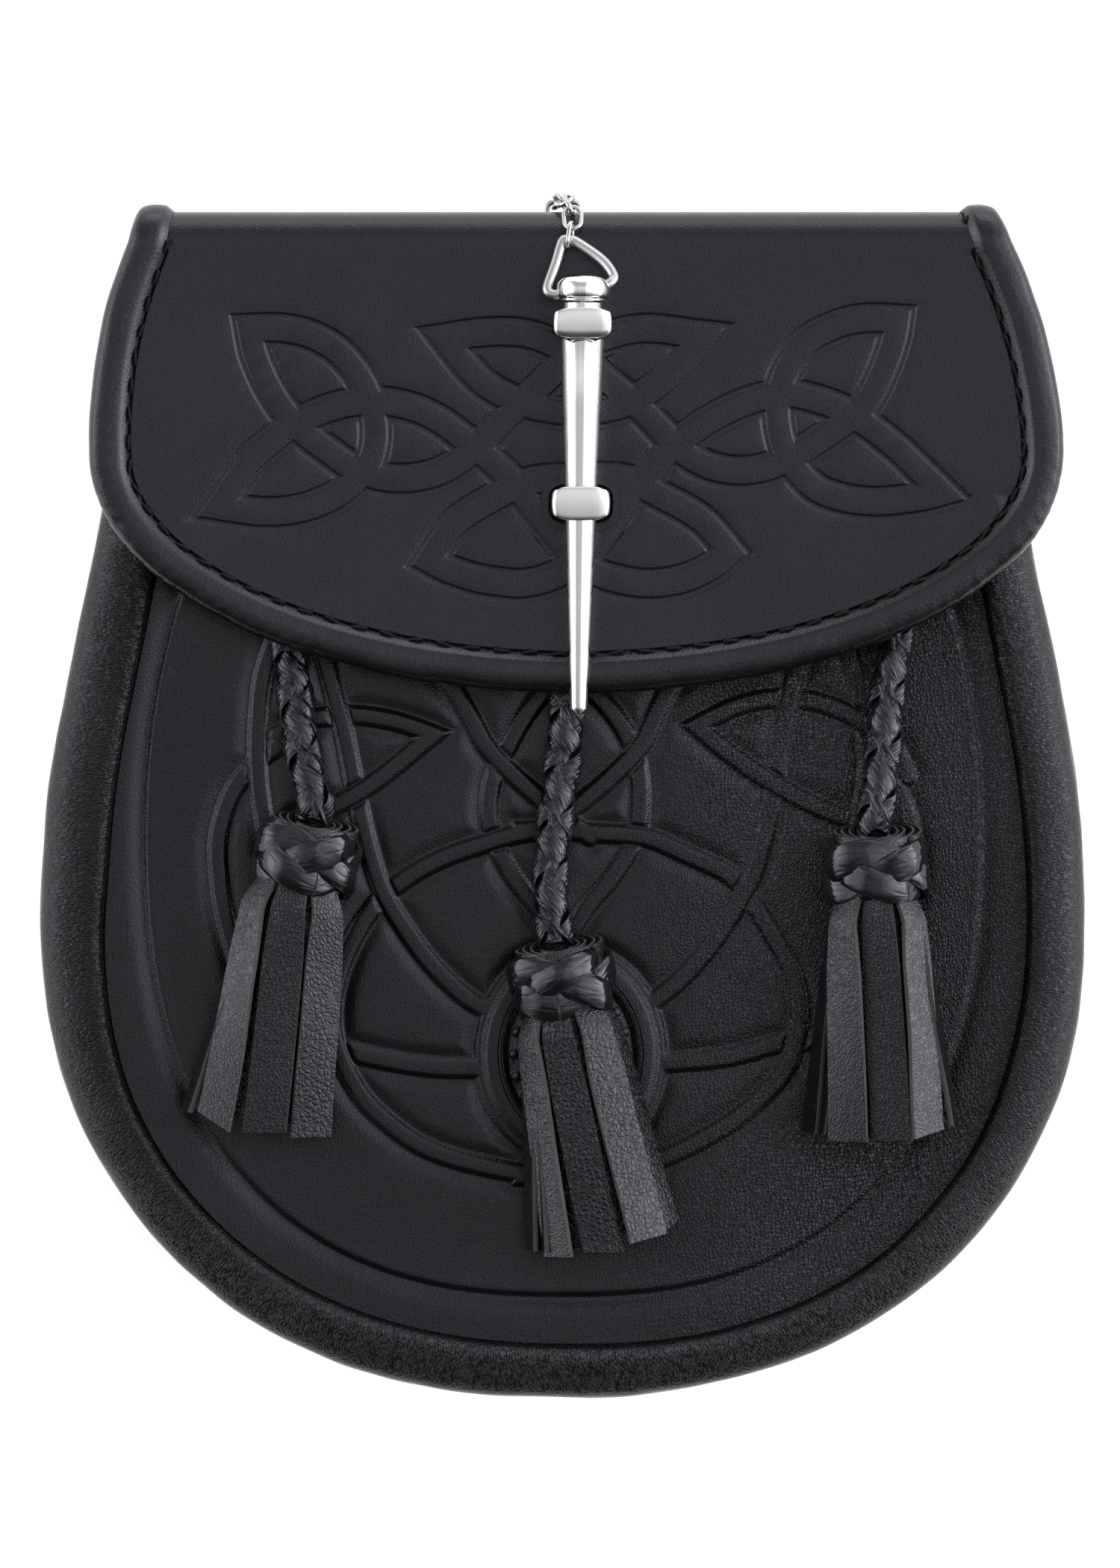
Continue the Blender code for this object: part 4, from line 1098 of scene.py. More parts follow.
def make_plait(which, turned):
    """Four flat laces plaited round, two one way and two the other, over and under."""
    name = f"cord_{which}"
    route = cord_line(TASSELS[which])
    line = through(route, 0.55 * MM)
    reach = run_along(line)
    way = ways(line)
    flat = unit(np.cross(np.array([0, 0, 1.0]), way))
    up = np.cross(way, flat)
    rng = np.random.default_rng(len(which) * 7 + 1)
    section = round_section(0.5, 12, power=0.75)
    tubes = []
    for strand in range(4):
        hand = 1 if strand < 2 else -1
        start = math.pi * (strand % 2) + turned * hand
        around = start + hand * 2 * math.pi * reach / PLAIT_TURN
        around = around + 0.1 * np.sin(reach / (9 * MM) + rng.uniform(0, 6))
        over = np.cos(2 * 2 * math.pi * reach / PLAIT_TURN + 2 * turned)
        radius = PLAIT_MEAN + hand * PLAIT_SWING * over
        oval, across = ((flat * np.cos(around)[:, None] * x + up * np.sin(around)[:, None] * z)
                        for x, z in (PLAIT_OVAL, PLAIT_FACING))
        centre = line + oval * radius[:, None]
        wide = LACE_WIDE * (1 + 0.09 * np.sin(reach / (2.9 * MM) + rng.uniform(0, 6)))
        rings = lace_rings(
            centre, reach, ways(centre), across, wide, section, LACE_THICK, 0.75 * MM,
            (1.8, 2.2, 2.4 * MM, 0.09 * MM), strand + len(which),
        )
        tubes.append((rings, (0.02 * strand, 0.05 * strand)))
    # the plain thong in the middle, that the others are plaited round
    core = round_section(1.75 * MM, 10)
    tubes.append((rings_on(line, flat, up, core[:, 0][None] * 1.2, core[:, 1][None]), (0.09, 0.09)))
    points, faces, uv = joined(tubes)
    obj = make_object(f"plait_{which}", points, faces, [lace_leather], 60, uv)
    settle(obj, "tassel_leather", name)


make_plait("left", 0.6)
make_plait("centre", 1.4)
make_plait("right", 0.9)


# ---- the sheet: back, top and flap -----------------------------------------------------


def sheet_path(steps_back, steps_bend, steps_flap):
    """The sheet's rows on its middle surface: centres, half widths and outward normals."""
    outline = inset(evenly(pouch_half(FOLD_Y), steps_back), BACK_INSET)
    centres = [(0, y, SHEET_BACK_Z) for _, y in outline[::-1]]
    halves = [max(x, 7 * MM) for x, _ in outline[::-1]]
    normals = [(0, 0, -1)] * len(outline)
    turns = [(SHEET_BACK_Z + FOLD_RADIUS, -90 + 90 * i / steps_bend) for i in range(1, steps_bend + 1)]
    turns += [(FLAP_Z - FOLD_RADIUS, 90 * i / steps_bend) for i in range(steps_bend)]
    flap = evenly(flap_half(), steps_flap)
    for i, (centre_z, degrees) in enumerate(turns, 1):
        turn = math.radians(degrees)
        share = i / (len(turns) + 1)
        out = np.array([0, math.cos(turn), math.sin(turn)])
        centres.append(np.array([TOP_SHIFT * share, FOLD_Y, centre_z]) + out * FOLD_RADIUS)
        halves.append(outline[0][0] + (flap[0][0] - outline[0][0]) * share)
        normals.append(out)
    for x, y in flap:
        lower = min(1.0, (FOLD_Y - y) / (FOLD_Y - FLAP_WIDEST_Y))
        centres.append((TOP_SHIFT + (FLAP_SHIFT - TOP_SHIFT) * lower, y, flap_middle(y)))
        halves.append(max(x, 5 * MM))
        normals.append((0, math.sin(FLAP_RISE), math.cos(FLAP_RISE)))
    return np.array(centres, float), np.array(halves), np.array(normals, float)


def pin_place(from_top):
    return PIN_TOP + Vector((math.sin(PIN_LEAN), -math.cos(PIN_LEAN), 0)) * from_top


STAPLE_SLOT = np.array([5.95, 3.7]) * MM  # half of the slot in the flap, across and along
SEAM_INSET = 5.2 * MM  # from the flap's edge in to the seam's groove
# The seam's groove, by distance from the seam, in mm.
SEAM_GROOVE = ((0.1, -0.85), (0.34, -0.7), (0.5, -0.2), (0.62, 0.0))
# How deep the pressed line is, by distance outside a strand's edge, in mm.
FLAP_GROOVE = (
    (-0.12, 0.0), (0.0, -0.02), (0.28, -0.25), (0.36, -0.28),
    (0.98, -0.28), (1.06, -0.25), (1.34, -0.02), (1.46, 0.0),
)


def slow_swell(x, y, size, seed):
    """The slow waves that leather keeps, over a whole surface."""
    return waves(side_by_side(x, y), size, seed, 1).reshape(np.shape(x))


def flap_surface(x, y):
    """The flap's outer face."""
    fade = np.clip((FOLD_Y - y) / (12 * MM), 0, 1)
    return flap_middle(y) + SHEET_THICK / 2 + 0.22 * MM * slow_swell(x, y, 85 * MM, 5) * fade


def make_sheet():
    """One sheet with the flap's ornament pressed into it, and the lower staple's slot."""
    back, bend, flap, columns = 30, 9, 60, 72
    centres, halves, normals = sheet_path(back, bend, flap)
    first_flap = back + 2 * bend
    spread = np.linspace(-1, 1, columns + 1)

    def row(r, shares):
        return centres[r] + np.outer(shares * halves[r], (1.0, 0, 0))

    right, left = (centres[first_flap:-1] + np.outer(s * halves[first_flap:-1], (1, 0, 0)) for s in (1, -1))
    outline = np.vstack([right, row(-1, spread[::-1]), left[::-1], row(first_flap, spread[1:-1])])[:, :2]
    hole = np.array(pin_place(LOWER_STAPLE_FROM_TOP))[:2] + round_section(1, 28, 0.6) * STAPLE_SLOT
    xs, ys = grid_lines((-68, 74), (33, 92), 0.2)
    field = strand_field(xs, ys, FLAP_STRANDS.values(), FLAP_STRAND_HALF)
    from_hole = distance_to_line(xs, ys, np.vstack([hole, hole[:1]]), 6 * MM)
    field = np.where(from_hole < 1.2 * MM, STRAND_REACH, field)
    path, _, out, _ = binding_path()
    seam = (path - out * SEAM_INSET)[path[:, 2] > FLAP_Z - 0.1 * MM][:, :2]
    seam_xs, seam_ys = grid_lines((-92, 93), (-2, 108), 0.3)
    from_seam = distance_to_line(seam_xs, seam_ys, seam, 2 * MM)
    pressed = [(field, xs, ys, FLAP_GROOVE), (from_seam, seam_xs, seam_ys, SEAM_GROOVE)]
    outer = pressed_surface(outline, flap_surface, pressed, 3 * MM, [hole])
    inner = pressed_surface(outline, lambda x, y: flap_middle(y) - SHEET_THICK / 2, (), 6 * MM, [hole])
    points, faces = walled(outer, inner, columns)
    # from the flap's open top edge the sheet goes on, row by row over the fold and down the back
    count = len(points)
    points = [points]
    before = [
        [first + k for k in rims[0][-columns:] + rims[0][:1]]
        for first, rims in ((0, outer[2]), (len(outer[0]), inner[2]))
    ]
    for r in reversed(range(first_flap)):
        across = row(r, spread)
        half = normals[r] * (SHEET_THICK / 2)
        wave = np.zeros(len(spread))
        if r < back:
            wave = waves(across[:, :2], 60 * MM, 9, 1) * 0.15 * MM * min(1.0, (back - 1 - r) / 4)
        points += [across + half + np.outer(wave, normals[r]), across - half]
        now = [list(range(first, first + len(spread))) for first in (count, count + len(spread))]
        (a, b), (c, d) = before, now
        for i in range(columns):
            faces += [[a[i], a[i + 1], c[i + 1], c[i]], [b[i], d[i], d[i + 1], b[i + 1]]]
        faces += [[a[0], c[0], d[0], b[0]], [a[-1], b[-1], d[-1], c[-1]]]
        before = now
        count += 2 * len(spread)
    a, b = before
    faces += [[a[i], a[i + 1], b[i + 1], b[i]] for i in range(columns)]
    obj = make_object("flap_and_back_sheet", np.vstack(points), faces, [flap_leather], 50)
    settle(obj, "black_leather", "back_and_flap")


# ---- the binding round the flap --------------------------------------------------------

BINDING = (
    (-4.5, 0.8), (-4.98, 0.9), (-5.0, 1.2), (-4.72, 1.52), (-4.2, 2.0), (-3.72, 2.38), (-3.4, 2.52),
    (-2.6, 2.63), (-1.0, 2.65), (0.7, 2.2), (1.6, 1.15), (1.85, 0.0),
    (1.55, -1.1), (0.6, -1.85), (-1.2, -2.1), (-4.4, -1.95), (-4.8, -1.25),
)
BINDING_SLOT = ((0.25, -1.25), (0.25, 1.25))


def binding_path():
    """The binding's route round the flap's edge, with the leather's normal and the way out."""
    centres, halves, normals = sheet_path(26, 14, 150)
    last = int(np.nonzero(centres[:, 2] > BINDING_END_Z)[0][-1])
    first = int(np.nonzero(centres[:, 2] > BINDING_END_Z)[0][0])
    right, left = (centres[first:last] + np.outer(s * halves[first:last], (1, 0, 0)) for s in (1, -1))
    tip = [centres[last] + np.array([s * halves[last], -0.1 * MM, 0]) for s in (0.6, 0, -0.6)]
    path = np.vstack([right, tip, left[::-1]])
    normal = np.vstack([normals[first:last], [normals[last]] * 3, normals[first:last][::-1]])
    reach = run_along(path)
    wanted = np.linspace(0, reach[-1], int(reach[-1] / (0.85 * MM)))
    path = read_at(wanted, reach, path)
    normal = unit(read_at(wanted, reach, normal))
    out = np.cross(normal, evened(ways(path), 6))
    on_fold = np.clip((FLAP_Z - 0.1 * MM - path[:, 2]) / (1.5 * MM), 0, 1)[:, None]
    sideways = np.sign(out[:, :1]) * np.array([1.0, 0, 0])
    return path, normal, upright(normal, out * (1 - on_fold) + sideways * on_fold), wanted


def make_binding():
    """A strip of thin leather rolled round the flap's edge and over its top."""
    path, normal, out, reach = binding_path()
    soft = through(np.array(BINDING) * MM, count=46)
    section = np.vstack([soft, np.array(BINDING_SLOT) * MM])
    slot = np.arange(len(section)) >= len(soft)
    turn = np.arange(len(section)) / len(soft)
    outside = np.clip(1 - np.abs(turn - 0.45) / 0.3, 0, 1)  # most on the outer edge
    lower = np.clip((FLAP_WIDEST_Y + 6 * MM - path[:, 1]) / (14 * MM), 0, 1)
    corner = lower * np.clip((np.abs(path[:, 0]) - 25 * MM) / (22 * MM), 0.12, 1)
    where = side_by_side(reach[:, None], turn * 9 * MM)
    fine, slow = (
        waves(where, size * MM, seed).reshape(len(path), -1) for size, seed in ((1.9, 31), (14, 32))
    )
    lump = 0.085 * MM * fine * outside * corner[:, None] + 0.12 * MM * slow * (outside + 0.15)
    # the strip's ends are pressed thinner
    end = np.clip(np.minimum(reach, reach[-1] - reach) / (2.2 * MM), 0, 1)[:, None]
    full = 0.55 + 0.45 * np.sqrt(1 - (1 - end) ** 2)
    a, b = section.T
    middle = np.array([-1.6, 0.2]) * MM
    across = np.where(slot, a, middle[0] + (a - middle[0]) * (0.8 + 0.2 * full)) + lump * (a > 0.3 * MM)
    lift = np.where(slot, b, middle[1] + (b - middle[1]) * full + lump * np.sign(b))
    rings = rings_on(path, out, normal, across, lift)
    uv = side_by_side(reach[:, None], turn * 16 * MM)
    obj = make_tube("rolled_binding", rings, binding_leather, 55, uv)
    settle(obj, "binding_leather", "flap_binding")


# ---- the moulded front and the side wall -----------------------------------------------

FRONT_RIB = (
    (-1.2, 0.22), (-0.6, 0.21), (-0.4, 0.17), (-0.26, 0.08), (-0.05, -0.1), (0.18, -0.3), (0.38, -0.47),
    (0.52, -0.52), (0.95, -0.45), (1.7, -0.22), (2.4, -0.07), (3.0, 0.0),
)
# The border: a step down from the field, then a channel, then up again to the margin.
FRONT_BORDER = (
    (-1.4, 0.0), (-0.7, 0.04), (-0.55, 0.0), (-0.34, -0.1), (-0.02, -0.36), (0.24, -0.56),
    (0.38, -0.62), (0.52, -0.62), (1.0, -0.58), (1.6, -0.42), (2.3, -0.22), (3.1, -0.07), (4.0, 0.0),
)


# How wide the roll is, by the direction from the pouch's middle: degrees and mm.
ROLL_WIDTH = (
    (172, 12.0), (180, 11.4), (190, 11.0), (200, 10.6), (220, 10.3), (235, 9.9), (270, 9.7),
    (290, 9.1), (310, 9.0), (330, 9.7), (345, 10.5), (368, 10.5),
)
ROLL_MIDDLE = np.array([0.0, -24.9]) * MM
ROLL_DENT = np.array([-77.0, -66.0]) * MM
ROLL_CORE = np.array([4.9, 26.0]) * MM  # the middle of the roll in the section below
ROLL_DRAWN = 9.2 * MM  # the roll's width in that section


def roll_width(points):
    """The roll's width at each point of the pouch's outline."""
    off = points - ROLL_MIDDLE
    degrees = np.degrees(np.arctan2(off[:, 1], off[:, 0])) % 360
    degrees = np.where(degrees < 90, degrees + 360, degrees)
    turns, widths = np.array(ROLL_WIDTH).T
    return np.interp(degrees, turns, widths) * MM


def front_surface(x, y):
    return front_height(x, y) + 0.1 * MM * slow_swell(x, y, 60 * MM, 21)


# The medallion in the middle: the strands end at its ring, and beads lie inside it.
MEDALLION = np.array([1.3, -46.8]) * MM
MEDALLION_SIZE = np.array([14.6, 17.2]) * MM  # half of it across and along
MEDALLION_EDGE = (
    (-9.0, 0.8), (-3.85, 0.8), (-3.65, 0.42), (-3.25, 0.42), (-3.05, 0.8), (-1.5, 0.8), (-1.15, 0.72),
    (-0.75, 0.45), (-0.35, 0.14), (-0.12, 0.02), (0.0, 0.0),
)
RING_BAND = 2.8 * MM  # half the width of the band round the ring that the strands run into
RING_EDGE = 1.75 * MM  # from the ring's middle to its outer edge
BEADS = 20
BEADS_INSIDE = 4.2 * MM  # from the ring's middle in to the beads' middles
STRAND_GAP = 0.55 * MM  # beside a strand that passes over another
BEAD = ((0.15, 0.5), (0.4, 0.46), (0.6, 0.36), (0.78, 0.2), (0.95, 0.0))


def medallion_oval(smaller, count):
    turn = 2 * math.pi * np.arange(count) / count
    return MEDALLION + (MEDALLION_SIZE - smaller) * np.stack([np.cos(turn), np.sin(turn)], 1)


def in_medallion(x, y):
    return np.hypot((x - MEDALLION[0]) / MEDALLION_SIZE[0], (y - MEDALLION[1]) / MEDALLION_SIZE[1]) < 1


def make_front():
    """The front panel with its ornament and its border line."""
    edge = both_sides(evenly(pouch_half(MOUTH_Y), 130))
    edge = inset(edge, (roll_width(edge) + GAP)[:, None])
    oval = medallion_oval(0, 90)
    oval = np.vstack([oval, oval[:1]])
    # the ribs end at the medallion's ring
    xs, ys = grid_lines((-70, 71), (-76, 37), 0.25)
    ribs = strand_field(xs, ys, FRONT_RIBS.values(), FRONT_RIB_HALF, gap=STRAND_GAP)
    ribs = np.where(in_medallion(*np.meshgrid(xs, ys)), 4 * MM, ribs)
    ribs = np.minimum(ribs, distance_to_line(xs, ys, oval, 8 * MM) - RING_BAND)
    small_xs, small_ys = grid_lines((-19, 22), (-69, -25), 0.2)
    gx, gy = np.meshgrid(small_xs, small_ys)
    ring = distance_to_line(small_xs, small_ys, oval, 20 * MM)
    ring = np.where(in_medallion(gx, gy), -ring, ring) - RING_EDGE
    beads = np.min([np.hypot(gx - x, gy - y) for x, y in medallion_oval(BEADS_INSIDE, BEADS)], axis=0)
    wide_xs, wide_ys = grid_lines((-84, 84), (-98, 60), 0.4)
    gx, gy = np.meshgrid(wide_xs, wide_ys)
    border = both_sides(border_half())
    away = distance_to_line(wide_xs, wide_ys, border, 8 * MM)
    inside = inside_outline(border, gx.ravel(), gy.ravel(), 0).reshape(gx.shape)
    away = np.where(inside, -away, away)
    pressed = [
        (ribs, xs, ys, FRONT_RIB), (away, wide_xs, wide_ys, FRONT_BORDER),
        (ring, small_xs, small_ys, MEDALLION_EDGE), (beads, small_xs, small_ys, BEAD),
    ]
    outer = pressed_surface(edge, front_surface, pressed, 3 * MM)
    inner = pressed_surface(edge, lambda x, y: front_height(x, y) - FRONT_THICK, (), 9 * MM)
    obj = make_object("moulded_front", *walled(outer, inner), [front_leather], 60)
    settle(obj, "black_leather", "front_panel")


GUSSET_OUTSIDE = (
    (7.0, 5.3), (2.0, 5.3), (0.9, 6.8), (0.5, 14.0), (0.0, 23.0), (0.05, 28.0), (0.35, 29.7), (1.2, 30.8),
    (3.1, 31.8), (5.1, 32.7), (7.1, 33.2), (8.4, 33.05), (9.0, 32.3), (9.2, 30.4), (9.2, 28.1), (14.0, 28.1),
)
GUSSET_INSIDE = (
    (14.0, 26.5), (7.6, 26.5), (7.5, 29.9), (6.9, 31.2), (4.9, 31.1), (3.3, 30.4), (2.1, 28.4),
    (1.7, 23.0), (2.2, 14.0), (2.7, 7.6), (7.0, 7.0),
)


def make_gusset():
    """The side wall, rolled over at the front all round, with its grain stretched."""
    path = both_sides(evenly(pouch_half(MOUTH_Y + 4 * MM), 210))
    way = evened(ways(path), 3)
    inwards = np.stack([way[:, 1], -way[:, 0], np.zeros(len(way))], 1)
    soft = through(np.array(GUSSET_OUTSIDE[1:-2]) * MM, count=38)[1:]
    outside = np.vstack([np.array(GUSSET_OUTSIDE[:2]) * MM, soft, np.array(GUSSET_OUTSIDE[-2:]) * MM])
    section = np.vstack([outside, np.array(GUSSET_INSIDE) * MM])
    reach = run_along(path)[:, None]
    turn = np.arange(len(section)) / len(section)
    where = side_by_side(reach, turn * 60 * MM)
    slow, small = (
        waves(where, size * MM, seed, octaves).reshape(len(path), -1)
        for size, seed, octaves in ((38, 11, 2), (9, 12, 1))
    )
    on_roll = np.zeros(len(section))
    on_roll[8 : len(outside) - 3] = 1
    # the dent with its creases at the lower left of the roll
    near = np.exp(-(((path - ROLL_DENT) ** 2).sum(1)) / (11 * MM) ** 2)[:, None]
    crease = np.sin(reach / (3.4 * MM) + turn * 40) * near
    swell = on_roll * (0.22 * MM * slow + 0.05 * MM * small - near * 0.55 * MM + 0.16 * MM * crease)
    a, b = section.T
    out = unit(section - ROLL_CORE)
    wider = roll_width(path)[:, None] / ROLL_DRAWN
    high = np.clip((b - 23 * MM) / (5 * MM), 0, 1)
    across = a * (1 + (wider - 1) * high) + out[:, 0] * swell
    # at the sides the roll's rim is rounder than at the bottom
    at_rim = np.exp(-(((a - 0.3 * MM) / (1.6 * MM)) ** 2)) * (b > 24 * MM)
    at_side = 1 - np.clip(inwards[:, 1:2], 0, 1) ** 2
    height = b + out[:, 1] * swell - 1.3 * MM * at_rim * at_side
    flat = np.column_stack([path, np.zeros(len(path))])
    rings = rings_on(flat, inwards, np.tile((0, 0, 1.0), (len(path), 1)), across, height)
    obj = make_tube("rolled_side_wall", rings, gusset_leather, 50, side_by_side(reach, run_along(section)))
    settle(obj, "black_leather", "gusset")


make_sheet()
make_binding()
make_front()
make_gusset()


# ---- the tassels -----------------------------------------------------------------------

KNOT_TURNS = 3  # how often the lace goes round
KNOT_POINTS = 4  # how often it comes back from each rim
KNOT_SWING = 3.2 * MM
KNOT_RADII = (8.95 * MM, 7.3 * MM)  # of the lace's middle, across the tassel and up
KNOT_LACE_WIDE = 5.6 * MM
KNOT_LACE_THICK = 1.05 * MM
KNOT_STEPS = 420

# Each strip: where it leaves the knot and where its tip lies across the tassel, its width,
# the tip's distance from the knot's centre at each edge, all in mm, then its roll at the
# knot and at the tip in degrees, how far it lies under the front ones, and its finish.
SMOOTH, CUT_EDGE, GRAINED = 0, 1, 2
STRIPS = {
    "left": (
        (-7.2, -13.1, 6.4, 49.2, 49.4, -72, -80, 2.6, SMOOTH),
        (-8.0, -7.5, 6.9, 48.8, 51.4, -50, -21, 0.0, SMOOTH),
        (-1.9, 1.7, 7.9, 51.1, 49.6, -3, 1, 0.5, SMOOTH),
        (5.2, 10.1, 7.5, 50.4, 49.0, 24, 17, 0.3, GRAINED),
    ),
    "centre": (
        (-7.4, -13.0, 6.4, 47.4, 47.7, -74, -76, 2.8, SMOOTH),
        (-7.0, -11.4, 6.4, 47.9, 48.2, -74, -74, 2.4, SMOOTH),
        (-7.7, -8.4, 5.9, 48.8, 49.5, -46, -33, 0.2, SMOOTH),
        (-2.6, -0.4, 7.2, 49.0, 50.2, -6, -1, 0.5, GRAINED),
        (4.4, 7.9, 7.6, 48.7, 48.1, 23, 24, 0.0, GRAINED),
        (7.6, 12.3, 5.0, 47.7, 46.2, 58, 54, 1.7, SMOOTH),
    ),
    "right": (
        (-7.4, -13.2, 5.6, 47.7, 47.9, -74, -62, 3.0, SMOOTH),
        (-7.2, -11.1, 6.2, 47.8, 48.0, -74, -72, 2.8, SMOOTH),
        (-6.4, -6.5, 7.4, 49.1, 49.4, -42, -18, 0.0, SMOOTH),
        (-0.1, 1.5, 7.5, 49.3, 49.5, -12, -11, 0.6, SMOOTH),
        (6.3, 8.2, 7.0, 49.1, 47.6, 44, 40, 0.1, SMOOTH),
        (7.2, 12.8, 6.0, 47.1, 47.3, 78, 80, 2.6, SMOOTH),
    ),
}
# The strips behind, which show only between the front ones and from the side.
HIDDEN_STRIPS = (
    (-4.6, -4.6, 6.9, 48.2, 49.0, -10, -14, 3.6, SMOOTH),
    (1.6, 4.6, 6.9, 49.0, 48.2, 6, 10, 3.9, GRAINED),
    (-6.0, -9.6, 6.9, 47.6, 48.4, 24, 30, 8.6, SMOOTH),
    (-0.4, -1.6, 6.9, 48.6, 48.0, 4, 2, 9.6, SMOOTH),
    (5.6, 6.4, 6.9, 47.8, 48.6, -22, -24, 8.8, SMOOTH),
)
HEAD_SLANT = {"left": 1.1 * MM, "centre": 1.1 * MM, "right": 1.3 * MM}
HEAD_OVAL = (1.06, 0.84)  # the knot presses the head flat
HEAD_SECTION = (  # across the layer, and back from its cut end; the last ones are in the knot
    (-0.95, 0.1), (-0.85, 0.0), (-0.3, -0.04), (0.1, 0.0), (0.2, 0.12), (0.2, 2.0), (0.2, 9.0), (-0.95, 9.0),
)
STRIP_THICK = 0.95 * MM
STRIP_START = 3.0 * MM


def on_tassel(frame_of, across, along, up):
    """Points from their distances across, along and up from a knot's centre."""
    centre, down, side, high = (np.array(v) for v in frame_of)
    across, along, up = (np.asarray(v, float)[..., None] for v in (across, along, up))
    return centre + side * across + down * along + high * up


def make_knot(which, phase):
    """A turk's head: one wide lace woven three times round the tassel's head."""
    placed = tassel_frame(TASSELS[which])
    t = 2 * math.pi * np.arange(KNOT_STEPS) / KNOT_STEPS
    rng = np.random.default_rng(len(which) * 3 + 2)
    drift = [rng.uniform(0, 6) for _ in range(3)]
    around = KNOT_TURNS * t + phase + 0.05 * np.sin(4 * t + drift[0])
    along = 0.5 * MM + KNOT_SWING * np.cos(KNOT_POINTS * t) + 0.25 * MM * np.sin(3 * t + drift[1])
    over = 0.75 * MM * np.sin(2 * KNOT_POINTS * t)
    barrel = 1 - 0.05 * ((along - 0.5 * MM) / KNOT_SWING) ** 2
    wide, deep = (radius * barrel + over for radius in KNOT_RADII)
    line = on_tassel(placed, wide * np.cos(around), along, deep * np.sin(around))
    square = [turn(around) * MM / radius for turn, radius in zip((np.cos, np.sin), KNOT_RADII)]
    out = on_tassel(placed, square[0], 0 * t, square[1]) - np.array(placed[0])
    width = KNOT_LACE_WIDE * (1 + 0.07 * np.sin(7 * t + drift[2]))
    rings = lace_rings(
        line, run_along(line), ways(line, True), out, width, round_section(0.5, 18, power=0.4),
        KNOT_LACE_THICK, 0.6 * MM, (3.2, 1.7, 2.2 * MM, 0.2 * MM), len(which),
    )
    obj = make_tube(f"woven_knot_{which}", rings, knot_leather, 60, tube_uv(rings), closed=True)
    settle(obj, "tassel_leather", f"knot_{which}")


def strip_rings(placed, row, seed):
    """One cut strip: its rings from under the knot to its tip."""
    top, tip, width, left_end, right_end, top_roll, tip_roll, under, _ = row
    share = np.linspace(0, 1, 40)
    upper = [(-0.5, 0.36), (-0.486, 0.5), (-0.465, 0.5), (-0.2, 0.5)]
    section = upper + [(-x, y) for x, y in upper[::-1]]
    section = np.array(section + [(x, -y) for x, y in section[::-1]])
    a, b = section.T[:, None]
    leave = eased(np.clip(share / 0.16, 0, 1))
    shift = waves(side_by_side(share * 40, seed * 3.1), 26, seed, 1)
    across = (top * (0.7 + 0.3 * leave) + (tip - top) * share**1.1) * MM
    round_x = (9.6 + 5.4 * share) * MM
    arch = np.sqrt(np.clip(1 - (across / round_x) ** 2, 0.05, 1))
    high = (5.3 + 1.1 * leave + 0.1 * share) * MM * arch - under * MM * (0.6 + 0.4 * leave)
    high = high - 0.13 * abs(top) * MM * (1 - leave) + 0.3 * MM * np.roll(shift, 7) * share
    across = across + 0.22 * MM * shift * share
    roll = (np.radians(top_roll + (tip_roll - top_roll) * share) + 0.05 * shift)[:, None]
    spread = np.clip(share / 0.34, 0, 1) ** 0.7
    flat = a * (width * MM * (0.62 + 0.3 * spread + 0.08 * share))[:, None]
    thick = b * STRIP_THICK + (0.1 + 0.35 * (1 - leave[:, None])) * MM * (1 - (2 * a) ** 2)
    end = (left_end + (right_end - left_end) * (a + 0.5)) * MM
    along = STRIP_START + (end - STRIP_START) * share[:, None]
    x = across[:, None] + flat * np.cos(roll) + thick * np.sin(roll)
    up = high[:, None] - flat * np.sin(roll) + thick * np.cos(roll)
    return on_tassel(placed, x, along, up)


def head_rings(placed, slant):
    """The head: the hide rolled up round the cord, cut off a little slanting at its end."""
    turn = np.linspace(0.4, 4.1 * 2 * math.pi, 190)[:, None]
    size = np.linspace(2.6, 8.0, len(turn))[:, None] * MM + 0.12 * MM * np.sin(turn * 1.37)
    end = -(KNOT_LENGTH / 2 - 1.1 * MM) + slant * (np.sin(turn) - 1) + 0.14 * MM * np.sin(turn * 2.3)
    thick, back = np.array(HEAD_SECTION).T * MM
    reach = size + thick
    across, up = reach * np.cos(turn) * HEAD_OVAL[0], reach * np.sin(turn) * HEAD_OVAL[1]
    return on_tassel(placed, across, end + back, up)


def make_tassel(which):
    """The rolled head and its cut strips, some smooth side out and some grain side out."""
    placed = tassel_frame(TASSELS[which])
    tubes, parts = [], []
    for k, row in enumerate((*STRIPS[which], *HIDDEN_STRIPS)):
        rings = strip_rings(placed, row, k + 11 * len(which))
        tubes.append((rings, (0.0, 0.04 * k)))
        sides = [CUT_EDGE if c in (0, 6, 7, 8, 14, 15) else row[-1] for c in range(rings.shape[1])]
        parts += sides * (len(rings) - 1) + [CUT_EDGE, CUT_EDGE]
    head = head_rings(placed, HEAD_SLANT[which])
    tubes.append((head, (0.0, 0.6)))
    parts += [SMOOTH, SMOOTH, CUT_EDGE, *[SMOOTH] * 5] * (len(head) - 1) + [SMOOTH, SMOOTH]
    points, faces, uv = joined(tubes)
    finishes = [strip_leather, cut_edge_leather, grained_strip_leather]
    obj = make_object(f"cut_strips_{which}", points, faces, finishes, 45, uv, parts)
    settle(obj, "tassel_leather", f"tassel_{which}")


for which, phase in (("left", 77), ("centre", 98), ("right", 54)):
    make_knot(which, math.radians(phase))
    make_tassel(which)


# ---- the pin, its staples, the bail and the chain --------------------------------------

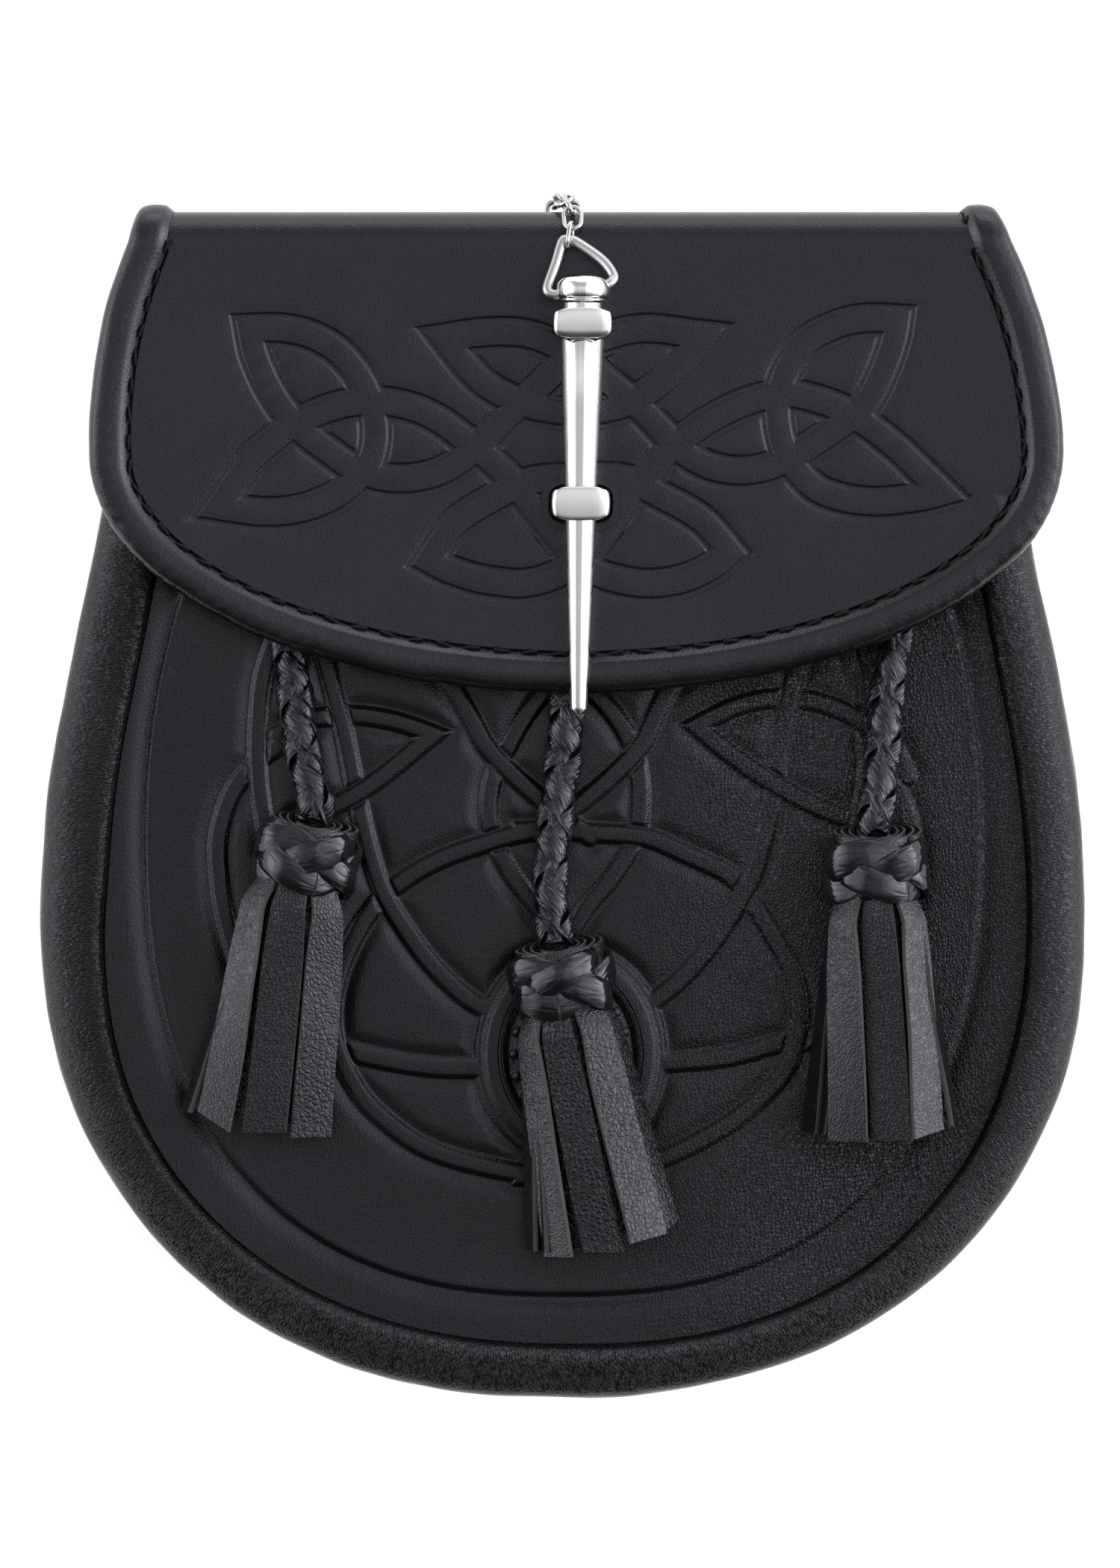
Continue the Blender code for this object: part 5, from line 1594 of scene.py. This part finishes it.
PIN_PROFILE = (  # along the pin and its radius, in mm
    (0.02, 1.0), (0.1, 1.9), (0.28, 2.8), (0.55, 3.5), (0.95, 4.1), (1.45, 4.55), (2.0, 4.82),
    (2.6, 4.92), (3.2, 4.94), (3.7, 4.86), (4.1, 4.7), (4.35, 4.45), (4.5, 4.2), (4.7, 4.22),
    (4.9, 4.08), (5.05, 3.8), (5.2, 3.6), (6.0, 3.6), (11.5, 3.7), (12.0, 4.02), (24.0, 3.58),
    (42.0, 2.88), (60.0, 2.26), (78.6, 1.62), (79.2, 1.5),
    (79.55, 1.25), (79.7, 0.9),
)
PIN_SIDES = 64


def make_pin():
    """The tapered pin, turned on a lathe, with its neck and its domed knob."""
    along, radius = np.array(PIN_PROFILE).T[:, :, None] * MM
    x, z = round_section(1, PIN_SIDES).T
    rings = np.stack([radius * x, -along + 0 * x, radius * z], 2)
    lay = np.array(Matrix.Rotation(PIN_LEAN, 3, "Z"))
    obj = make_tube("turned_pin", rings @ lay.T + np.array(PIN_TOP), chrome, 50)
    settle(obj, "chromed_metal", "pin")


STAPLE_WIDTH = 10.7 * MM
STAPLE_LEG = 1.5 * MM
STAPLE_THICK = 1.8 * MM


def make_staple(name, from_top, height, foot_z, bend, crown, rounded, bevel):
    """A strap bent over the pin, with a crowned upper edge, a bevelled lower one and rounded ends."""
    centre = pin_place(from_top)
    half, under = STAPLE_WIDTH / 2, STAPLE_BAR_TOP - STAPLE_THICK
    inside = half - STAPLE_LEG
    turn = np.linspace(0, math.pi / 2, 9)
    corner = np.stack([half - bend * (1 - np.cos(turn)), STAPLE_BAR_TOP - bend * (1 - np.sin(turn))], 1)
    bar = [((half - bend) * k, STAPLE_BAR_TOP) for k in (0.75, 0.5, 0.25)]
    right = np.vstack([[(half, foot_z)], corner, bar])
    bite = 0.4 * MM
    low = np.array([(inside, foot_z), (inside, under - bite), (inside - bite, under), (inside / 2, under)])
    mirror = np.array([-1, 1])
    outline = np.vstack([right * mirror, right[::-1], low, low[::-1] * mirror])
    x, z = outline.T
    outer = np.arange(len(outline)) < 2 * len(right)
    on_top = outer & (z > under)
    z = np.where(on_top, z - 0.25 * MM * (x / half) ** 2, z)
    rings = []
    for s in (-1, -0.99, -0.95, -0.88, -0.78, -0.66, -0.54, -0.42, -0.2, 0.2, 0.6, 0.88, 0.94, 0.98, 1):
        start, lip = (0.9, 0.35 * MM) if s > 0 else (1 - bevel, bevel * MM)
        edge = lip * (1 - math.sqrt(1 - (max(0.0, abs(s) - start) / (1 - start)) ** 2)) + 0.22 * MM * s * s
        reach = height / 2 - rounded * (np.abs(x) / half) ** 4
        y = s * reach + max(0.0, s) * crown * (1 - (x / half) ** 2)
        x_in = np.where(outer, x - np.sign(x) * edge * (np.abs(x) > inside), x)
        rings.append(np.stack([centre.x + x_in, centre.y + y, np.where(on_top, z - edge, z)], 1))
    obj = make_tube(f"bent_{name}", np.array(rings), bar_chrome, 35)
    settle(obj, "chromed_metal", name)


def make_wire(name, points, thickness, sides, node):
    """A bent wire with square cut ends."""
    line = np.array(points, float)
    way = ways(line)
    side = [np.cross(way[0], (0.3, 0.2, 0.93))]
    for w in way:  # without twist, each ring follows the one before
        square = side[-1] - w * np.dot(side[-1], w)
        side.append(square / np.linalg.norm(square))
    side = np.array(side[1:])
    a, b = round_section(thickness / 2, sides).T[:, None]
    rings = rings_on(line, side, np.cross(side, way), a, b)
    obj = make_tube(name, rings, satin_wire, 60)
    settle(obj, "chromed_metal", node)


def chain_places():
    """Each link's centre, and the leather's outward direction there, over the fold."""
    leather = FOLD_RADIUS + SHEET_THICK / 2
    route = leather + 2.1 * MM
    places, outwards = [], []
    for i, (across, off, _) in enumerate(CHAIN):
        turn = math.radians(79) - LINK_PITCH * i / route
        out = np.array([0, math.cos(max(turn, 0)), math.sin(max(turn, 0))])
        place = np.array([across * MM, FOLD_Y, FLAP_Z - FOLD_RADIUS + min(turn, 0) * route])
        places.append(place + out * (leather + off * MM))
        outwards.append(out)
    return np.array(places), np.array(outwards)


def new_group(name, inputs):
    """A group of geometry nodes, and the sockets of what it is given."""
    tree = bpy.data.node_groups.new(name, "GeometryNodeTree")
    tree.interface.new_socket("Geometry", in_out="OUTPUT", socket_type="NodeSocketGeometry")
    for socket, kind in {"Geometry": "Geometry", **inputs, "Material": "Material"}.items():
        tree.interface.new_socket(socket, in_out="INPUT", socket_type=f"NodeSocket{kind}")
    return tree, add(tree, "NodeGroupInput").outputs


def close_group(tree, made, material):
    """Ends a group: its instances made real, smooth and of this material."""
    real = add(tree, "GeometryNodeRealizeInstances", {"Geometry": made})
    smooth = add(tree, "GeometryNodeSetShadeSmooth", {"Geometry": real, "Shade Smooth": True})
    painted = add(tree, "GeometryNodeSetMaterial", {"Geometry": smooth, "Material": material})
    add(tree, "NodeGroupOutput", {"Geometry": painted})
    return tree


def link_tree():
    """Geometry nodes that set a wire link on each point, turned as the point says."""
    tree, given = new_group("chain_links", {"Length": "Float", "Width": "Float", "Wire": "Float"})
    long, wide = (
        add(tree, "ShaderNodeMath", {0: given[size], 1: given["Wire"]}, operation="SUBTRACT")
        for size in ("Length", "Width")
    )
    bend = add(tree, "ShaderNodeMath", {0: wide, 1: 0.498}, operation="MULTIPLY")
    half = add(tree, "ShaderNodeMath", {0: given["Wire"], 1: 0.5}, operation="MULTIPLY")
    box = add(tree, "GeometryNodeCurvePrimitiveQuadrilateral", {"Width": long, "Height": wide})
    rounded = add(tree, "GeometryNodeFilletCurve", {"Curve": box, "Radius": bend, "Count": 4}, mode="POLY")
    section = add(tree, "GeometryNodeCurvePrimitiveCircle", {"Radius": half, "Resolution": 8})
    link = add(tree, "GeometryNodeCurveToMesh", {"Curve": rounded, "Profile Curve": section})
    turn = add(tree, "GeometryNodeInputNamedAttribute", {"Name": "turn"}, data_type="FLOAT_VECTOR")
    turn = add(tree, "FunctionNodeEulerToRotation", {0: turn})
    placed = add(
        tree, "GeometryNodeInstanceOnPoints",
        {"Points": given["Geometry"], "Instance": link, "Rotation": turn},
    )
    return close_group(tree, placed, given["Material"])


def lay_out(name, places, along, up, rolls, tree, values, slot, *nodes):
    """What a node tree makes at places, as a plain mesh.

    Each one lies along its way with its top up, then is rolled by so many degrees. The
    tree's inputs get their values by each input's identifier.
    """
    side = unit(np.cross(up, along))
    roll = np.radians(rolls)[:, None]
    flat = side * np.cos(roll) + np.cross(along, side) * np.sin(roll)
    frames = np.stack([along, flat, np.cross(along, flat)], 1)
    turns = [tuple(Matrix(rows).transposed().to_euler()) for rows in frames]
    mesh = bpy.data.meshes.new(name)
    mesh.from_pydata([tuple(p) for p in places], [], [])
    stored = mesh.attributes.new("turn", "FLOAT_VECTOR", "POINT")
    stored.data.foreach_set("vector", np.array(turns, np.float32).ravel())
    obj = bpy.data.objects.new(name, mesh)
    bpy.context.scene.collection.objects.link(obj)
    modifier = obj.modifiers.new(tree.name, "NODES")
    modifier.node_group = tree
    for item in tree.interface.items_tree:
        if item.in_out == "INPUT" and item.name in values:
            modifier[item.identifier] = values[item.name]
    bpy.context.view_layer.update()
    evaluated = obj.evaluated_get(bpy.context.evaluated_depsgraph_get())
    mesh = bpy.data.meshes.new_from_object(evaluated)
    mesh.name = name
    obj.modifiers.clear()
    obj.data = mesh
    settle(obj, slot, *nodes)


def make_chain():
    """The nine links over the fold, each turned against the next."""
    places, outwards = chain_places()
    lay_out(
        "chain", places, ways(places), outwards, [roll for _, _, roll in CHAIN], link_tree(),
        {"Length": LINK_LENGTH, "Width": LINK_WIDTH, "Wire": LINK_WIRE, "Material": shade_darkened_link_chrome},
        "chromed_metal", *[f"chain_link_{i + 1:02d}" for i in range(len(CHAIN))],
    )


BAIL = (  # the wire's corners in mm, from its left end in the knob round to its right end
    (1.2, 91.3, 43.65), (-1.7, 90.9, 43.65), (-2.9, 92.0, 43.2), (-1.4, 96.6, 41.2),
    (7.0, 97.3, 41.2), (9.1, 94.4, 42.6), (8.5, 93.0, 43.6), (6.0, 92.2, 43.65),
)


def make_bail():
    """The triangular wire from the pin's knob to the chain's first link."""
    places, _ = chain_places()
    hold = LINK_LENGTH / 2 - LINK_WIRE - BAIL_WIRE / 2 - GAP
    apex = places[0] - ways(places)[0] * hold
    tip = [apex + np.array([x, y, 0]) * MM for x, y in ((-1.2, -0.35), (0, 0), (1.2, -0.35))]
    points = [np.array(p) * MM for p in BAIL]
    bend = through([*points[1:4], *tip, *points[4:-1]], 0.4 * MM)
    make_wire("bent_bail", np.vstack([points[:1], bend, points[-1:]]), 1.3 * BAIL_WIRE, 16, "bail")


def make_chain_staple():
    """The wire staple on the top that holds the chain's last link."""
    thickness, reach, bend = 1.1 * MM, 3.0 * MM, 1.2 * MM
    last = chain_places()[0][-1]
    z = last[2] - (LINK_LENGTH - 2 * LINK_WIRE) / 2 + thickness / 2 + 0.2 * MM
    foot = TOP_Y + SHEET_THICK / 2 + GAP
    turn = np.linspace(0, math.pi / 2, 7)
    right = [(reach - bend * (1 - math.cos(t)), last[1] - bend * (1 - math.sin(t)), z) for t in turn]
    line = [(reach, foot, z), *right, *[(-x, y, z) for x, y, _ in right[::-1]], (-reach, foot, z)]
    make_wire("chain_anchor", line, thickness, 12, "chain_staple")


make_pin()
upper_y, lower_place = pin_place(UPPER_STAPLE_FROM_TOP).y, pin_place(LOWER_STAPLE_FROM_TOP)
upper_foot = flap_middle(upper_y - 3 * MM) + SHEET_THICK / 2 + GAP
lower_foot = float(front_height(lower_place.x, lower_place.y)) + GAP
make_staple(
    "upper_staple", UPPER_STAPLE_FROM_TOP + 0.2 * MM, 5.1 * MM, upper_foot, bend=0.9 * MM, crown=0.5 * MM,
    rounded=0.3 * MM, bevel=0.55,
)
make_staple(
    "lower_staple", LOWER_STAPLE_FROM_TOP, 6.2 * MM, lower_foot, bend=1.0 * MM, crown=0.0,
    rounded=0.9 * MM, bevel=0.2,
)
make_bail()
make_chain()
make_chain_staple()


# ---- stitching -------------------------------------------------------------------------

STITCH_PITCH = 5.4 * MM
SEAM_OFF_EDGE = 5.35 * MM  # from the flap's edge in to its stitches
STITCH_HEIGHT = 1.12 * MM  # over the middle of the sheet's leather


def stitch_tree():
    """Geometry nodes that lay a stitch on each point, with loose fibres round it."""
    tree, given = new_group(
        "waxed_stitches",
        {"Length": "Float", "Lift": "Float", "Thread": "Float", "Fibres": "Int", "Seed": "Int"},
    )
    turned = add(tree, "GeometryNodeInputNamedAttribute", {"Name": "turn"}, data_type="FLOAT_VECTOR")
    # by chance: each stitch's sway, where the fibres lie beside it, and how these are turned
    sway, beside, any_way = (
        add(
            tree, "FunctionNodeRandomValue", {0: low, 1: high, "Seed": given["Seed"]},
            data_type="FLOAT_VECTOR",
        )
        for low, high in (
            ((-0.12, -0.08, -0.25), (0.12, 0.08, 0.25)),
            ((-1.7 * MM, -0.5 * MM, -0.1 * MM), (1.7 * MM, 0.5 * MM, 0.25 * MM)),
            ((-0.7, -0.5, -3.1), (0.7, 0.5, 3.1)),
        )
    )
    back, half = (
        add(tree, "ShaderNodeMath", {0: given["Length"], 1: share}, operation="MULTIPLY")
        for share in (-0.5, 0.5)
    )
    start, end, top = (
        add(tree, "ShaderNodeCombineXYZ", {part: value})
        for part, value in (("X", back), ("X", half), ("Z", given["Lift"]))
    )
    arch = add(
        tree, "GeometryNodeCurveQuadraticBezier", {"Resolution": 6, "Start": start, "Middle": top, "End": end}
    )
    radius = add(tree, "ShaderNodeMath", {0: given["Thread"], 1: 0.5}, operation="MULTIPLY")
    section = add(tree, "GeometryNodeCurvePrimitiveCircle", {"Resolution": 6, "Radius": radius})
    stitch = add(
        tree, "GeometryNodeCurveToMesh", {"Curve": arch, "Profile Curve": section, "Fill Caps": True}
    )
    swayed = add(tree, "ShaderNodeVectorMath", {0: turned, 1: sway})
    # the fibres are bent hairs, drawn thicker than real ones so that they show
    more = add(
        tree, "GeometryNodeDuplicateElements", {"Geometry": given["Geometry"], "Amount": given["Fibres"]},
        domain="POINT",
    )
    along = add(
        tree, "ShaderNodeVectorRotate", {"Vector": beside, "Rotation": turned}, rotation_type="EULER_XYZ"
    )
    strewn = add(tree, "GeometryNodeSetPosition", {"Geometry": more, "Offset": along})
    hair_line = add(
        tree, "GeometryNodeCurveQuadraticBezier",
        {
            "Resolution": 4, "Start": (-0.6 * MM, 0, 0), "Middle": (0.1 * MM, 0.1 * MM, 0.5 * MM),
            "End": (0.6 * MM, 0.2 * MM, 0),
        },
    )
    hair_section = add(tree, "GeometryNodeCurvePrimitiveCircle", {"Resolution": 3, "Radius": 0.055 * MM})
    hair = add(tree, "GeometryNodeCurveToMesh", {"Curve": hair_line, "Profile Curve": hair_section})
    both = add(tree, "GeometryNodeJoinGeometry")
    for points, piece, euler in ((given["Geometry"], stitch, swayed), (strewn, hair, any_way)):
        turn = add(tree, "FunctionNodeEulerToRotation", {0: euler})
        pieces = add(
            tree, "GeometryNodeInstanceOnPoints", {"Points": points, "Instance": piece, "Rotation": turn}
        )
        feed(tree, both, {0: pieces})
    return close_group(tree, both, given["Material"])


def sew_binding():
    """The seam at the binding's inner edge, where its short black stitches lie."""
    path, normal, out, reach = binding_path()
    wanted = np.arange(4 * MM, reach[-1] - 4 * MM, STITCH_PITCH)
    path, normal, out = (read_at(wanted, reach, values) for values in (path, normal, out))
    places = path - out * SEAM_OFF_EDGE + normal * STITCH_HEIGHT
    lay_out(
        "binding_stitches", places, ways(places), normal, np.zeros(len(places)), stitch_tree(),
        {
            "Length": 2.6 * MM, "Lift": 0.55 * MM, "Thread": 0.62 * MM, "Fibres": 5, "Seed": 4,
            "Material": stitch_thread,
        },
        "binding_leather",
    )


sew_binding()


# the belt loops, the only solids that show as they are
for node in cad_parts.values():
    if not node.hide_render:
        node.data.materials.clear()
        node.data.materials.append(flap_leather)
